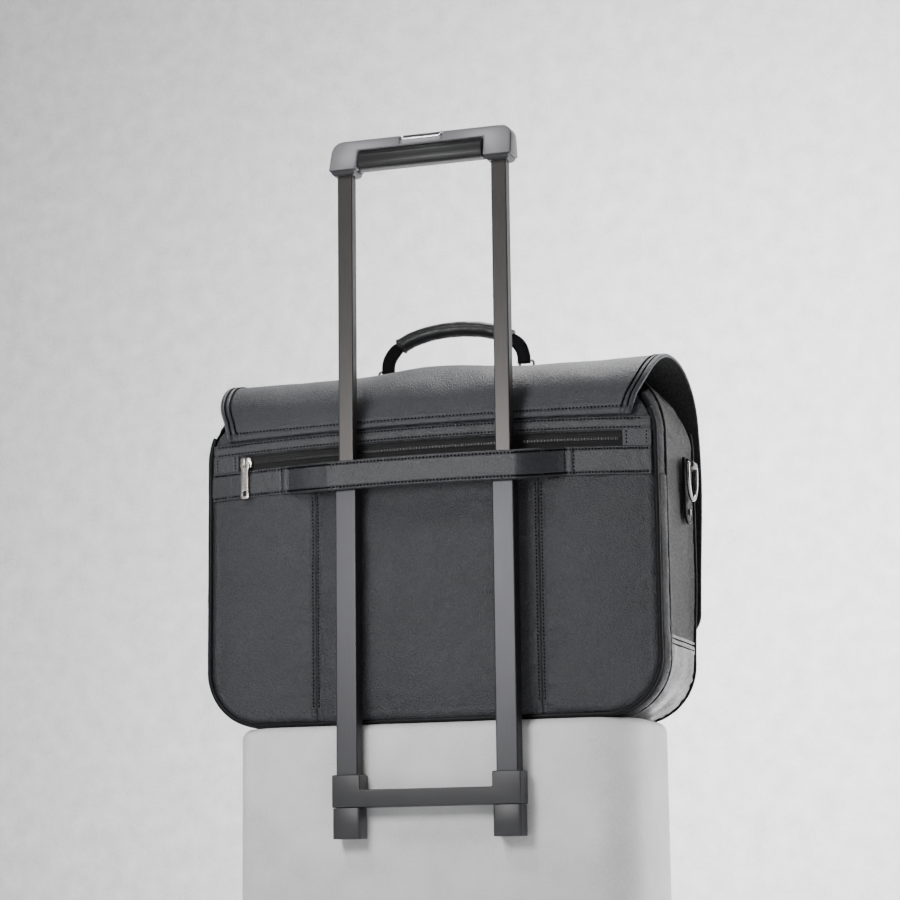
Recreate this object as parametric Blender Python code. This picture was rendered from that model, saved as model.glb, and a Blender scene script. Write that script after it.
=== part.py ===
"""A black leather flap-over laptop case, carried on the telescopic pull handle of a piece of rolling luggage.

Blender 4.5, metres, +Z up. The origin is the middle of the case's base. The trolley side of the case faces -Y,
its flap hangs down the +Y side, and X runs along its width.
"""

import math

import bmesh
import bpy
from mathutils import Matrix, Vector

MM = 0.001
GAP = 0.3 * MM  # left between two pieces that rest on each other

# ---------------------------------------------------------------- driving dimensions
# The case's body
HALF_W = 207.5 * MM  # half width over the gussets
TOP_Z = 298 * MM  # where the rounded top corners would meet the top
CORNER_BOTTOM = 50 * MM
CORNER_TOP = 60 * MM
LEATHER = 2.5 * MM
BACK_Y = -60 * MM  # rim of the back panel
BACK_BULGE = 4 * MM
FRONT_Y = 61 * MM
FRONT_FLARE = 13 * MM  # how much further forward the front panel stands above the base
MID_Y = -29.5 * MM  # seam between laptop section and main section
PIPING_R = 2.1 * MM
GUSSET_TOP_Z = 290 * MM  # rear end of the gusset's curved top edge
GUSSET_SHOULDER_Z = 244 * MM  # where that edge meets the front seam
BASE_WRAP_Z = 68 * MM  # how far the smooth base leather runs up the sides
PANEL_INSET = 4.0 * MM  # back and front panels, inside the piping
LINER_INSET = 5.0 * MM  # boards and dividers, inside the gusset leather
SEAM_X = 103 * MM  # sewn seams between the three lower back panels

# The front pouch and its magnetic snaps
POUCH_Z = (20 * MM, 190 * MM)
POUCH_HALF_W = 176 * MM
POUCH_DEPTH = 9 * MM
POUCH_T = 2 * MM
SNAP_X = 95 * MM
SNAP_Z = 88 * MM
SNAP_AXIS = (0, 1, -0.21)  # the front leans where the snaps sit

# The trolley strap and the zip above it
STRAP_Z = 220 * MM
STRAP_H = 26 * MM
STRAP_T = 2.6 * MM
STRAP_BOW_Y = -93 * MM  # inner face of the strap where it stands off the panel
STRAP_FLAT_X = 91 * MM
STRAP_SEWN_X = 127 * MM
ARCH = 5 * MM  # how far strap, zip and yoke dip from the middle to the edge of the case
ZIP_Z = 239 * MM
ZIP_END_X = 178 * MM
PULL_X = -169 * MM

# The flap, as a side profile of its inner face from the rear seam to the front edge, (y, z)
FLAP_T = 2.6 * MM
FLAP_FOLD = 7  # the profile point where the front of the flap hinges
FLAP_PROFILE = [
    (-64.6, 260.5), (-62.3, 273), (-55, 288), (-41, 301.5), (-21, 311.5), (5, 316), (36, 312.5), (63, 300.5),
    (78, 283), (87, 259), (92, 227), (92.5, 196), (91.5, 165), (89.5, 135), (86.5, 104), (81.5, 74),
]  # fmt: skip
FLAP_HALF_W = [186, 191, 198, 202, 205, 206.5, 208, 209, 210, 210, 210, 210, 210, 210, 210, 210]
FLAP_CORNER = 22 * MM
FLAP_CROWN = 10 * MM  # how far the sides of the hanging front fall back behind its middle
FLAP_BUMP = 7 * MM  # the top is lifted under the carry handle
FLAP_BUMP_X = -5 * MM

# The carry handle
HANDLE_Y = 24 * MM
HANDLE_PIVOT_Z = 329.0 * MM
HANDLE_HALF_SPAN = 68 * MM
HANDLE_APEX_Z = 363.5 * MM

# The pull handle of the luggage
TUBE_X = 72 * MM
HANDLE_SHIFT = 6 * MM  # the case hangs this far off the middle of its pull handle
TUBE_Y = -81 * MM
UPPER_TUBE = (14 * MM, 11 * MM)
LOWER_TUBE = (19.3 * MM, 15 * MM)
TUBE_WALL = 1.2 * MM
STAGE_Z = 222 * MM  # top of the lower tubes
UPPER_FOOT_Z = 165 * MM
LOWER_FOOT_Z = -98 * MM
BRIDGE_Z = (-73.5 * MM, -58.5 * MM)
COLLAR_TOP_Z = -45.6 * MM
COLLAR = (25.5 * MM, 21 * MM)
BRIDGE_BACK_Y = -70.5 * MM
GRIP_Z = (490 * MM, 519 * MM)
GRIP_DEPTH = 23 * MM
GRIP_LEAN = 8 * MM  # how far the grip's rear face leans forward from its foot to its top
WINDOW_HALF = 20.5 * MM  # the opening for the push button, over the rear top edge of the grip
WINDOW_LOW = 510.2 * MM
WINDOW_DEPTH = 19.5 * MM

# The shoulder-strap rings
RING_Y = 44 * MM
RING_PIVOT_Z = 226 * MM
RING_PIVOT_X = 213.5 * MM
RING_WIRE = 1.9 * MM
RING_HALF_W = 16 * MM
RING_DROP = 31 * MM
RING_TAB_HALF_W = 13 * MM


# ---------------------------------------------------------------- materials and mesh helpers
def material(name, colour, roughness, metallic=0.0):
    found = bpy.data.materials.new(name)
    found.use_nodes = True
    shader = found.node_tree.nodes["Principled BSDF"]
    shader.inputs["Base Color"].default_value = (*colour, 1)
    shader.inputs["Roughness"].default_value = roughness
    shader.inputs["Metallic"].default_value = metallic
    return found


def finished(name, bm, look, smooth_angle=40):
    """Turns a bmesh into a named object with outward normals and a material."""
    bmesh.ops.recalc_face_normals(bm, faces=bm.faces)
    mesh = bpy.data.meshes.new(name)
    bm.to_mesh(mesh)
    bm.free()
    mesh.shade_smooth()
    mesh.set_sharp_from_angle(angle=math.radians(smooth_angle))
    mesh.materials.append(look)
    made = bpy.data.objects.new(name, mesh)
    bpy.context.scene.collection.objects.link(made)
    return made


def rings_solid(name, rings, look, closed=False, triangles=False):
    """A solid through cross-sections that all have the same number of points; closed joins the last to the first,
    and triangles splits every face, for sections whose faces between them would be twisted."""
    bm = bmesh.new()
    rows = [[bm.verts.new(point) for point in ring] for ring in rings]
    count = len(rows[0])
    spans = len(rows) if closed else len(rows) - 1
    for i in range(spans):
        low, high = rows[i], rows[(i + 1) % len(rows)]
        for k in range(count):
            bm.faces.new((low[k], low[(k + 1) % count], high[(k + 1) % count], high[k]))
    if not closed:
        bm.faces.new(rows[0])
        bm.faces.new(rows[-1])
    if triangles:
        bmesh.ops.triangulate(bm, faces=bm.faces)
    return finished(name, bm, look)


def grid_solid(name, inner, outer, look):
    """A closed sheet between two grids of points of the same size."""
    bm = bmesh.new()
    faces = []
    for grid in (inner, outer):
        faces.append([[bm.verts.new(point) for point in row] for row in grid])
    rows, columns = len(inner), len(inner[0])
    for grid in faces:
        for i in range(rows - 1):
            for k in range(columns - 1):
                bm.faces.new((grid[i][k], grid[i + 1][k], grid[i + 1][k + 1], grid[i][k + 1]))
    rim = [(0, k) for k in range(columns - 1)]
    rim += [(i, columns - 1) for i in range(rows - 1)]
    rim += [(rows - 1, k) for k in range(columns - 1, 0, -1)]
    rim += [(i, 0) for i in range(rows - 1, 0, -1)]
    for at, (i, k) in enumerate(rim):
        j, m = rim[(at + 1) % len(rim)]
        bm.faces.new((faces[0][i][k], faces[0][j][m], faces[1][j][m], faces[1][i][k]))
    return finished(name, bm, look)


def box(name, low, high, look, bevel=0.0, segments=2):
    """An axis-aligned block with rounded edges."""
    bm = bmesh.new()
    bmesh.ops.create_cube(bm, size=1)
    size = [high[k] - low[k] for k in range(3)]
    middle = [(high[k] + low[k]) / 2 for k in range(3)]
    bmesh.ops.transform(bm, matrix=Matrix.Translation(middle) @ Matrix.Diagonal((*size, 1)), verts=bm.verts)
    if bevel:
        bmesh.ops.bevel(bm, geom=bm.edges, offset=bevel, segments=segments, affect="EDGES", profile=0.5)
    return finished(name, bm, look)


def cylinder(name, centre, axis, radius, length, look, sides=24, bevel=0.0):
    bm = bmesh.new()
    bmesh.ops.create_cone(bm, cap_ends=True, segments=sides, radius1=radius, radius2=radius, depth=length)
    if bevel:
        rims = [e for e in bm.edges if abs(e.verts[0].co.z - e.verts[1].co.z) < length / 4]
        bmesh.ops.bevel(bm, geom=rims, offset=bevel, segments=2, affect="EDGES", profile=0.5)
    turn = Vector((0, 0, 1)).rotation_difference(Vector(axis)).to_matrix().to_4x4()
    bmesh.ops.transform(bm, matrix=Matrix.Translation(centre) @ turn, verts=bm.verts)
    return finished(name, bm, look)


def extruded(name, outline, low, high, look, axis="Y", bevel=0.0, segments=2):
    """A flat outline drawn across the other two axes, in X, Y, Z order, pushed from low to high along axis."""
    at = "XYZ".index(axis)
    bm = bmesh.new()
    base = []
    for a, b in outline:
        point = [a, b]
        point.insert(at, low)
        base.append(bm.verts.new(point))
    face = bm.faces.new(base)
    out = bmesh.ops.extrude_face_region(bm, geom=[face])
    shift = Vector([high - low if k == at else 0 for k in range(3)])
    bmesh.ops.translate(bm, vec=shift, verts=[v for v in out["geom"] if isinstance(v, bmesh.types.BMVert)])
    if bevel:
        bmesh.ops.recalc_face_normals(bm, faces=bm.faces)
        bmesh.ops.bevel(bm, geom=bm.edges, offset=bevel, segments=segments, affect="EDGES", profile=0.5)
    return finished(name, bm, look)


def wire(name, points, radius, look, closed=False, resolution=2):
    """A round wire or piping along a line of points, as a curve with filled caps."""
    curve = bpy.data.curves.new(name, "CURVE")
    curve.dimensions = "3D"
    curve.bevel_depth = radius
    curve.bevel_resolution = resolution
    curve.use_fill_caps = not closed
    line = curve.splines.new("POLY")
    line.points.add(len(points) - 1)
    for spot, point in zip(line.points, points):
        spot.co = (*point, 1)
    line.use_cyclic_u = closed
    curve.materials.append(look)
    made = bpy.data.objects.new(name, curve)
    bpy.context.scene.collection.objects.link(made)
    return made


def cut(target, tool):
    """Cuts tool out of target with a Boolean, and keeps tool only as a guide."""
    tool.hide_render = True
    tool.display_type = "WIRE"
    change = target.modifiers.new(tool.name, "BOOLEAN")
    change.operation = "DIFFERENCE"
    change.object = tool
    change.solver = "EXACT"


def join(target, extra):
    """Fuses extra onto target with a Boolean, and keeps extra only as a guide."""
    cut(target, extra)
    target.modifiers[-1].operation = "UNION"


def mirrored(side, points):
    """Points drawn for the right-hand side, put on the side asked for (1 right, -1 left)."""
    return [(side * point[0], *point[1:]) for point in points]


def arc(centre_a, centre_b, radius, start, stop, steps):
    """Points on an arc in a plane, with angles in degrees."""
    spread = [start + (stop - start) * k / steps for k in range(steps + 1)]
    return [
        (centre_a + radius * math.cos(math.radians(t)), centre_b + radius * math.sin(math.radians(t))) for t in spread
    ]


# ---------------------------------------------------------------- shapes that several pieces follow
def arch(x):
    """How far a line across the back dips at x."""
    return -ARCH * (x / HALF_W) ** 2


def front_y(z):
    """Where the front seam runs: the main section is deeper above its stiff base."""
    t = min(1.0, max(0.0, (z - 0.050) / 0.080))
    return FRONT_Y + FRONT_FLARE * t * t * (3 - 2 * t)


def back_y(x, z):
    """The outer face of the back panel: bulged in the middle, and leaning in above the yoke."""
    across = max(0.0, 1 - abs(x / HALF_W) ** 4)
    up = max(0.0, 1 - abs((z - 0.140) / 0.150) ** 4)
    lean = max(0.0, z - 0.252) ** 2 * 9.5
    return BACK_Y - BACK_BULGE * across * up**0.5 + lean


def outline(inset=0.0, start_z=0.0, top_z=None, steps=6):
    """The case seen from behind, as (x, z) points of the right half from the base's middle up the side.
    It stops at top_z, and leaves out what is below start_z."""
    half = HALF_W - inset
    low = CORNER_BOTTOM - inset
    high = CORNER_TOP - inset
    points = [(0.0, inset)]
    points += arc(half - low, inset + low, low, -90, 0, steps)
    side_top = TOP_Z - inset - high
    points += [(half, side_top - 0.06), (half, side_top)]
    points += arc(half - high, side_top, high, 0, 90, steps)[1:]
    limit = TOP_Z if top_z is None else top_z
    kept = []
    for a, b in zip(points, points[1:]):
        if b[1] < start_z or a[1] >= limit:
            continue
        low_t = max(0.0, (start_z - a[1]) / (b[1] - a[1])) if b[1] > a[1] else 0.0
        high_t = min(1.0, (limit - a[1]) / (b[1] - a[1])) if b[1] > a[1] else 1.0
        first = tuple(a[k] + (b[k] - a[k]) * low_t for k in range(2))
        last = tuple(a[k] + (b[k] - a[k]) * high_t for k in range(2))
        if not kept or (Vector(kept[-1]) - Vector(first)).length > 1e-6:
            kept.append(first)
        kept.append(last)
    return kept


def subdivided(points, longest):
    """The same line with extra points, so that no run up the sides is longer than longest."""
    dense = [points[0]]
    for a, b in zip(points, points[1:]):
        count = math.ceil(abs(b[1] - a[1]) / longest) if abs(b[0] - a[0]) < 1e-6 else 1
        dense += [tuple(a[k] + (b[k] - a[k]) * i / count for k in range(2)) for i in range(1, count + 1)]
    return dense


def whole_outline(inset, top_z, steps=6):
    """The same outline from the left top round the base to the right top."""
    right = outline(inset, 0.0, top_z, steps)
    left = [(-x, z) for x, z in reversed(right)]
    return left[:-1] + right[1:]


def band(name, inset, points, y_low, y_high, look, thickness=LEATHER):
    """A strip of leather that follows outline points, as wide as y_low to y_high; either may be a function of z."""
    rings = []
    inner = offset_in(points, thickness)
    for (x, z), (xi, zi) in zip(points, inner):
        near = y_low(z) if callable(y_low) else y_low
        far = y_high(z) if callable(y_high) else y_high
        rings.append([(x, near, z), (x, far, z), (xi, far, zi), (xi, near, zi)])
    return rings_solid(name, rings, look)


def offset_in(points, distance):
    """The line moved towards the inside of the case by distance."""
    moved = []
    for at, point in enumerate(points):
        before = Vector(points[max(0, at - 1)])
        after = Vector(points[min(len(points) - 1, at + 1)])
        along = (after - before).normalized()
        moved.append((point[0] - along.y * distance, point[1] + along.x * distance))
    return moved


def width_at(z, inset):
    """Half the width of the outline at a height."""
    half = HALF_W - inset
    low = CORNER_BOTTOM - inset
    high = CORNER_TOP - inset
    if z < inset + low:
        drop = inset + low - z
        return half - low + math.sqrt(max(0.0, low**2 - drop**2))
    top = TOP_Z - inset - high
    if z > top:
        return half - high + math.sqrt(max(0.0, high**2 - (z - top) ** 2))
    return half


def heights(low, high, steps):
    """Heights from low to high, closer together at the bottom corners."""
    return [low + (high - low) * (k / steps) ** 1.35 for k in range(steps + 1)]


def shaped_sheet(name, z_low, z_high, x_from, x_to, face, thickness, look, rows=10, columns=10, even=False):
    """A sheet whose outer face is y = face(x, z). x_from and x_to give its edges at a height, z_low and z_high may
    dip with the arch."""
    inner, outer = [], []
    spread = [k / rows for k in range(rows + 1)] if even else [h for h in heights(0, 1, rows)]
    for t in spread:
        row_in, row_out = [], []
        for k in range(columns + 1):
            z = z_low + (z_high - z_low) * t
            x = x_from(z) + (x_to(z) - x_from(z)) * k / columns
            dip = arch(x) * (t if not even else 1)
            y = face(x, z + dip)
            row_out.append((x, y, z + dip))
            row_in.append((x, y + thickness, z + dip))
        inner.append(row_in)
        outer.append(row_out)
    return grid_solid(name, inner, outer, look)


# ---------------------------------------------------------------- the case's body
def case_body(leather, smooth_leather, lining, board, trim):
    edge = lambda z: width_at(z, PANEL_INSET)
    floor = PANEL_INSET + 0.1 * MM
    panel_top = ZIP_Z - 7.5 * MM
    seam_gap = 0.5 * MM
    spans = {
        "back_panel_left": (lambda z: -edge(z), lambda z: -SEAM_X - seam_gap, 5),
        "back_panel_centre": (lambda z: -SEAM_X + seam_gap, lambda z: SEAM_X - seam_gap, 8),
        "back_panel_right": (lambda z: SEAM_X + seam_gap, edge, 5),
    }
    for name, (left, right, columns) in spans.items():
        shaped_sheet(name, floor, panel_top, left, right, back_y, 2 * MM, leather, 9, columns)

    yoke_low = ZIP_Z + 7.5 * MM
    shaped_sheet("back_yoke", yoke_low, 0.286, lambda z: -edge(z), edge, back_y, 2 * MM, leather, 6, 14, True)
    welt_face = lambda x, z: back_y(x, z) - GAP - 1.2 * MM
    welt_edge = lambda z: 0.2020
    welt = shaped_sheet(
        "zip_welt", yoke_low + 0.8 * MM, yoke_low + 11.5 * MM, lambda z: -welt_edge(z), welt_edge,
        welt_face, 1.2 * MM, leather, 2, 14, True,
    )  # fmt: skip

    for side in (-1, 1):
        end_x = sorted((side * (ZIP_END_X + 0.4 * MM), side * welt_edge(0)))
        end_piece = shaped_sheet(
            f"guide_zip_end_{side + 1}", ZIP_Z - 5.4 * MM, yoke_low + 2 * MM, lambda z: end_x[0], lambda z: end_x[1],
            welt_face, 1.2 * MM, leather, 2, 2, True,
        )  # fmt: skip
        join(welt, end_piece)

    rear_line = whole_outline(0.0, 0.276)
    band("laptop_section_gusset", 0.0, rear_line, BACK_Y + 2.5 * MM, MID_Y - 2.3 * MM, smooth_leather)
    wrap_line = subdivided(whole_outline(0.0, BASE_WRAP_Z), 10 * MM)
    band("base_wrap", 0.0, wrap_line, MID_Y + 2.3 * MM, lambda z: front_y(z) - 2.3 * MM, smooth_leather)
    gusset_line = outline(0.0, BASE_WRAP_Z + GAP, GUSSET_TOP_Z)
    more = [(HALF_W, z * MM) for z in (80, 95, 110, 130)]
    gusset_line = gusset_line[:1] + more + [p for p in gusset_line[1:] if p[1] > 0.131]
    rear = MID_Y + 2.3 * MM
    for side, name in ((-1, "gusset_left"), (1, "gusset_right")):
        rings = []
        for (x, z), (xi, zi) in zip(gusset_line, offset_in(gusset_line, LEATHER)):
            fall = min(1.0, max(0.0, (GUSSET_TOP_Z - z) / (GUSSET_TOP_Z - GUSSET_SHOULDER_Z)))
            far = rear + (front_y(z) - 2.3 * MM - rear) * max(0.08, fall**0.42)
            rings.append(mirrored(side, [(x, rear, z), (x, far, z), (xi, far, zi), (xi, rear, zi)]))
        rings_solid(name, rings, leather, triangles=True)

    shaped_flat(
        "front_panel", floor, 0.262, lambda z: front_y(z) - 1.5 * MM, 2.5 * MM, leather, 12, 6, PANEL_INSET
    )
    shaped_flat("rear_board", LINER_INSET + 0.3 * MM, 0.236, lambda z: -57.2 * MM, 1.8 * MM, board, 8, 2, LINER_INSET)
    shaped_flat("laptop_divider", LINER_INSET + 0.3 * MM, 0.238, lambda z: -31 * MM, 7 * MM, lining, 8, 2, LINER_INSET)

    piping_runs = {
        "piping_rear": (lambda z: BACK_Y - 0.2 * MM, 0.262, 0.7 * MM, PIPING_R),
        "piping_middle": (lambda z: MID_Y, 0.284, 0.3 * MM, PIPING_R - 0.2 * MM),
        "piping_front": (lambda z: front_y(z) + 0.1 * MM, 0.255, 0.3 * MM, PIPING_R - 0.2 * MM),
    }
    for name, (y, top, inset, radius) in piping_runs.items():
        line = subdivided(whole_outline(inset + radius * 0.15, top), 20 * MM)
        wire(name, [(x, y(z), z) for x, z in line], radius, trim)


def shaped_flat(name, low, high, y, thickness, look, rows, columns, inset):
    """A sheet with the case's outline, standing across the case with its rear face at y(z)."""
    near, far = [], []
    for z in heights(low, high, rows):
        half = width_at(z, inset)
        xs = [-half + 2 * half * k / columns for k in range(columns + 1)]
        near.append([(x, y(z), z) for x in xs])
        far.append([(x, y(z) + thickness, z) for x in xs])
    return grid_solid(name, near, far, look)


def pocket_face(x, z):
    """The outer face of the front pouch."""
    across = max(0.0, 1 - abs(x / POUCH_HALF_W) ** 5)
    rise = (z - POUCH_Z[0]) / (POUCH_Z[1] - POUCH_Z[0])
    up = min(1.0, max(0.0, rise / 0.35)) ** 0.5
    return front_y(z) + 1.7 * MM + POUCH_T + POUCH_DEPTH * across**0.5 * up * (1 - 0.25 * rise)


def front_pocket(leather, metal):
    """The pouch on the front, open at the top, with the fixed halves of two magnetic snaps."""
    low, high = POUCH_Z
    rows, columns, corner = 9, 12, 0.030
    inner, outer = [], []
    for i in range(rows + 1):
        z = low + (high - low) * i / rows
        reach = POUCH_HALF_W - corner + math.sqrt(max(0.0, corner**2 - (corner - min(corner, z - low)) ** 2))
        xs = [-reach + 2 * reach * (0.5 - 0.5 * math.cos(math.pi * k / columns)) for k in range(columns + 1)]
        faces = [pocket_face(x * POUCH_HALF_W / reach, z) for x in xs]
        outer.append([(x, y, z) for x, y in zip(xs, faces)])
        inner.append([(x, y - POUCH_T, z) for x, y in zip(xs, faces)])
    grid_solid("front_pocket", inner, outer, leather)
    y = pocket_face(SNAP_X, SNAP_Z) + GAP + 1.0 * MM
    for side, name in ((-1, "left"), (1, "right")):
        cylinder(f"snap_socket_{name}", (side * SNAP_X, y, SNAP_Z), SNAP_AXIS, 7 * MM, 1.6 * MM, metal, 20)


# ---------------------------------------------------------------- trolley strap, zip
def strap_line(x):
    """The strap's inner face: sewn flat at the ends, bowed clear of the pull handle between them."""
    at = abs(x)
    if at >= STRAP_SEWN_X:
        return None
    if at <= STRAP_FLAT_X:
        return STRAP_BOW_Y
    ease = (at - STRAP_FLAT_X) / (STRAP_SEWN_X - STRAP_FLAT_X)
    ease = ease * ease * (3 - 2 * ease)
    return STRAP_BOW_Y + (back_y(STRAP_SEWN_X, STRAP_Z) - GAP - STRAP_BOW_Y) * ease


def trolley_strap(leather):
    edges = [0, 50, 80, 91, 97, 103, 109, 115, 121, 127, 150, 175, 202]
    xs = [-e * MM for e in reversed(edges[1:])] + [e * MM for e in edges]
    inner, outer = [], []
    for x in xs:
        row_in, row_out = [], []
        for k in range(5):
            z = STRAP_Z + arch(x) + STRAP_H * (k / 4 - 0.5)
            bow = strap_line(x)
            y = back_y(x, z) - GAP if bow is None else min(bow, back_y(x, z) - GAP)
            row_in.append((x, y, z))
            row_out.append((x, y - STRAP_T, z))
        inner.append(row_in)
        outer.append(row_out)
    return grid_solid("trolley_strap", inner, outer, leather)


def zip_fastener(tape, metal, leather):
    edge = lambda z: ZIP_END_X
    left = lambda z: -ZIP_END_X
    tape_face = lambda x, z: back_y(x, z) + 0.7 * MM
    tape_low, tape_high = ZIP_Z - 7.1 * MM, ZIP_Z + 7.1 * MM
    shaped_sheet("zip_tape", tape_low, tape_high, left, edge, tape_face, 0.9 * MM, tape, 2, 14, True)
    coil_face = lambda x, z: back_y(x, z) - 0.9 * MM
    coil_from = lambda z: -ZIP_END_X + 3 * MM
    coil_to = lambda z: ZIP_END_X - 4 * MM
    coil_low, coil_high = ZIP_Z - 2.3 * MM, ZIP_Z + 2.3 * MM
    shaped_sheet("zip_coil", coil_low, coil_high, coil_from, coil_to, coil_face, 1.3 * MM, tape, 2, 14, True)
    z = ZIP_Z + arch(PULL_X)
    y = back_y(PULL_X, z)
    body_low, body_high = y - 5.2 * MM, y - 1.3 * MM
    shell = [(-5.5, -4.2), (-3.5, -5.2), (4.5, -4.4), (5.5, 0), (4.5, 4.4), (-3.5, 5.2), (-5.5, 4.2)]
    slider = extruded(
        "zip_slider", [(PULL_X + a * MM, z + b * MM) for a, b in shell], body_low, body_high, metal, "Y", 0.5 * MM
    )

    pivot_y = body_low - 2.6 * MM
    bridge = [(PULL_X, pivot_y + 3.3 * MM, z + 3.4 * MM)]
    for t in (0.5, 1.1, 1.57, 2.04, 2.64):
        bridge.append((PULL_X, pivot_y - 2.4 * MM * math.sin(t), z + 3.4 * MM * math.cos(t)))
    bridge += [(PULL_X, pivot_y + 3.3 * MM, z - 3.4 * MM)]
    sections = []
    for at, point in enumerate(bridge):
        before = Vector(bridge[max(0, at - 1)])
        after = Vector(bridge[min(len(bridge) - 1, at + 1)])
        along = (after - before).normalized()
        side = Vector((1, 0, 0))
        up = along.cross(side)
        turn = [2 * math.pi * k / 8 for k in range(8)]
        sections.append([Vector(point) + (side * math.cos(t) * 1.4 + up * math.sin(t) * 0.8) * MM for t in turn])
    join(slider, rings_solid("guide_bridge", sections, metal))

    half, length = 4.2, 33.0
    pull = extruded(
        "zip_pull",
        [(PULL_X + a * MM, z + b * MM) for a, b in (
            (-half, -4.0), (-half, -1.0), (-2.6, 0.9), (2.6, 0.9), (half, -1.0), (half, -4.0), (3.0, -8.0), (3.4, -27),
            (4.0, -length + 2), (2.6, -length), (-2.6, -length), (-4.0, -length + 2), (-3.4, -27), (-3.0, -8.0),
        )],
        pivot_y - 0.9 * MM, pivot_y + 0.9 * MM, metal, "Y", 0.35 * MM, 1,
    )  # fmt: skip
    eye = box("guide_pull_eye", (PULL_X - 1.9 * MM, pivot_y - 3 * MM, z - 5.0 * MM),
              (PULL_X + 1.9 * MM, pivot_y + 3 * MM, z - 1.2 * MM), metal)  # fmt: skip
    tail = box("guide_pull_tail", (PULL_X - 1.7 * MM, pivot_y - 3 * MM, z - 30.6 * MM),
               (PULL_X + 1.7 * MM, pivot_y + 3 * MM, z - 26.0 * MM), metal)  # fmt: skip
    cut(pull, eye)
    cut(pull, tail)


# ---------------------------------------------------------------- the flap
def flap_point(at, share, lift=0.0):
    """A point on the flap at profile position at (a float index) and share of the half width, raised by lift."""
    i = min(int(at), len(FLAP_PROFILE) - 2)
    f = at - i
    y = FLAP_PROFILE[i][0] * (1 - f) + FLAP_PROFILE[i + 1][0] * f
    z = FLAP_PROFILE[i][1] * (1 - f) + FLAP_PROFILE[i + 1][1] * f
    half = FLAP_HALF_W[i] * (1 - f) + FLAP_HALF_W[i + 1] * f
    before = Vector(FLAP_PROFILE[max(0, i if f else i - 1)])
    after = Vector(FLAP_PROFILE[min(len(FLAP_PROFILE) - 1, i + 1)])
    along = (after - before).normalized()
    outward = Vector((-along.y, along.x))
    x = half * MM * share
    bump = FLAP_BUMP * math.exp(-(((x - FLAP_BUMP_X) / 0.047) ** 2)) * math.exp(-(((y - 12) / 48) ** 4)) if z > 255 else 0.0
    dip = arch(x) * max(0.0, 1 - at)
    hang = min(1.0, max(0.0, (230 - z) / 120))
    fallen = FLAP_CROWN * share**4 * hang * hang * (3 - 2 * hang)
    return Vector((x, y * MM + outward.x * lift - fallen, z * MM + outward.y * lift + bump + dip))


def flap_sheet(name, positions, look, corner=False):
    inner, outer = [], []
    shares = [-1, -0.9, -0.75, -0.56, -0.4, -0.3, -0.2, -0.1, 0, 0.1, 0.2, 0.32, 0.5, 0.72, 0.9, 1]
    for at in positions:
        squeeze = 1.0
        if corner:
            left_over = (flap_point(positions[-1], 0) - flap_point(at, 0)).length
            if left_over < FLAP_CORNER:
                short = FLAP_CORNER - math.sqrt(max(0.0, FLAP_CORNER**2 - (FLAP_CORNER - left_over) ** 2))
                squeeze = 1 - short / 0.210
        inner.append([flap_point(at, s * squeeze) for s in shares])
        outer.append([flap_point(at, s * squeeze, FLAP_T) for s in shares])
    return grid_solid(name, inner, outer, look)


def flap(leather, metal):
    last = len(FLAP_PROFILE) - 1
    top_rows = [0, 0.5, 1, 1.6, 2, 2.5, 3, 3.5, 4, 4.5, 5, 5.5, 6, 6.5, FLAP_FOLD - 0.025]
    front_rows = [FLAP_FOLD + 0.03, 7.5, 8, 8.5, 9, 9.6, 10, 11, 12, 13, 14, 14.3, 14.6, 14.8, 14.92, last]
    flap_sheet("flap_top", top_rows, leather)
    flap_sheet("flap_front", front_rows, leather, corner=True)
    y = pocket_face(SNAP_X, SNAP_Z) + 3.1 * MM
    for side, name in ((-1, "left"), (1, "right")):
        cylinder(f"snap_stud_{name}", (side * SNAP_X, y, SNAP_Z), SNAP_AXIS, 5.5 * MM, 1.4 * MM, metal, 20)


# ---------------------------------------------------------------- carry handle
def handle_line(steps=16):
    """The carry handle's centre line as (x, z), an arch that starts and ends nearly upright."""
    rise = HANDLE_APEX_Z - HANDLE_PIVOT_Z
    points = []
    for k in range(steps + 1):
        t = math.pi * (1 - k / steps)
        x = HANDLE_HALF_SPAN * math.cos(t)
        z = HANDLE_PIVOT_Z + rise * math.sin(t) ** 0.82
        points.append((x, z))
    return points


def swept(name, line, half_plane, half_depth, y, look, sides=10, square=2.0, hole=None):
    """A closed section carried along a line in the XZ plane; square 2 is an ellipse, more is a rounded box.
    With hole, the section is a ring: hole gives the inner half sizes and squareness."""

    def section(at, a, b, square):
        before = Vector(line[max(0, at - 1)])
        after = Vector(line[min(len(line) - 1, at + 1)])
        along = (after - before).normalized()
        out = Vector((-along.y, along.x))
        ring = []
        for k in range(sides):
            t = 2 * math.pi * k / sides
            c, s = math.cos(t), math.sin(t)
            u = math.copysign(abs(c) ** (2 / square), c) * a
            v = math.copysign(abs(s) ** (2 / square), s) * b
            ring.append((line[at][0] + out.x * u, y + v, line[at][1] + out.y * u))
        return ring

    rows = range(len(line))
    if hole is None:
        return rings_solid(name, [section(at, half_plane(at), half_depth(at), square) for at in rows], look)
    outer = [section(at, half_plane(at), half_depth(at), square) for at in rows]
    inner = [section(at, *hole) for at in reversed(rows)]
    return rings_solid(name, outer + inner, look, closed=True)


def ground_at(x, y):
    """The height of the flap's outer face at (x, y)."""
    best = None
    for k in range(400):
        at = 3 + 4 * k / 400
        spot = flap_point(at, x / (207 * MM), FLAP_T)
        if best is None or abs(spot.y - y) < abs(best.y - y):
            best = spot
    return best.z


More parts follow.
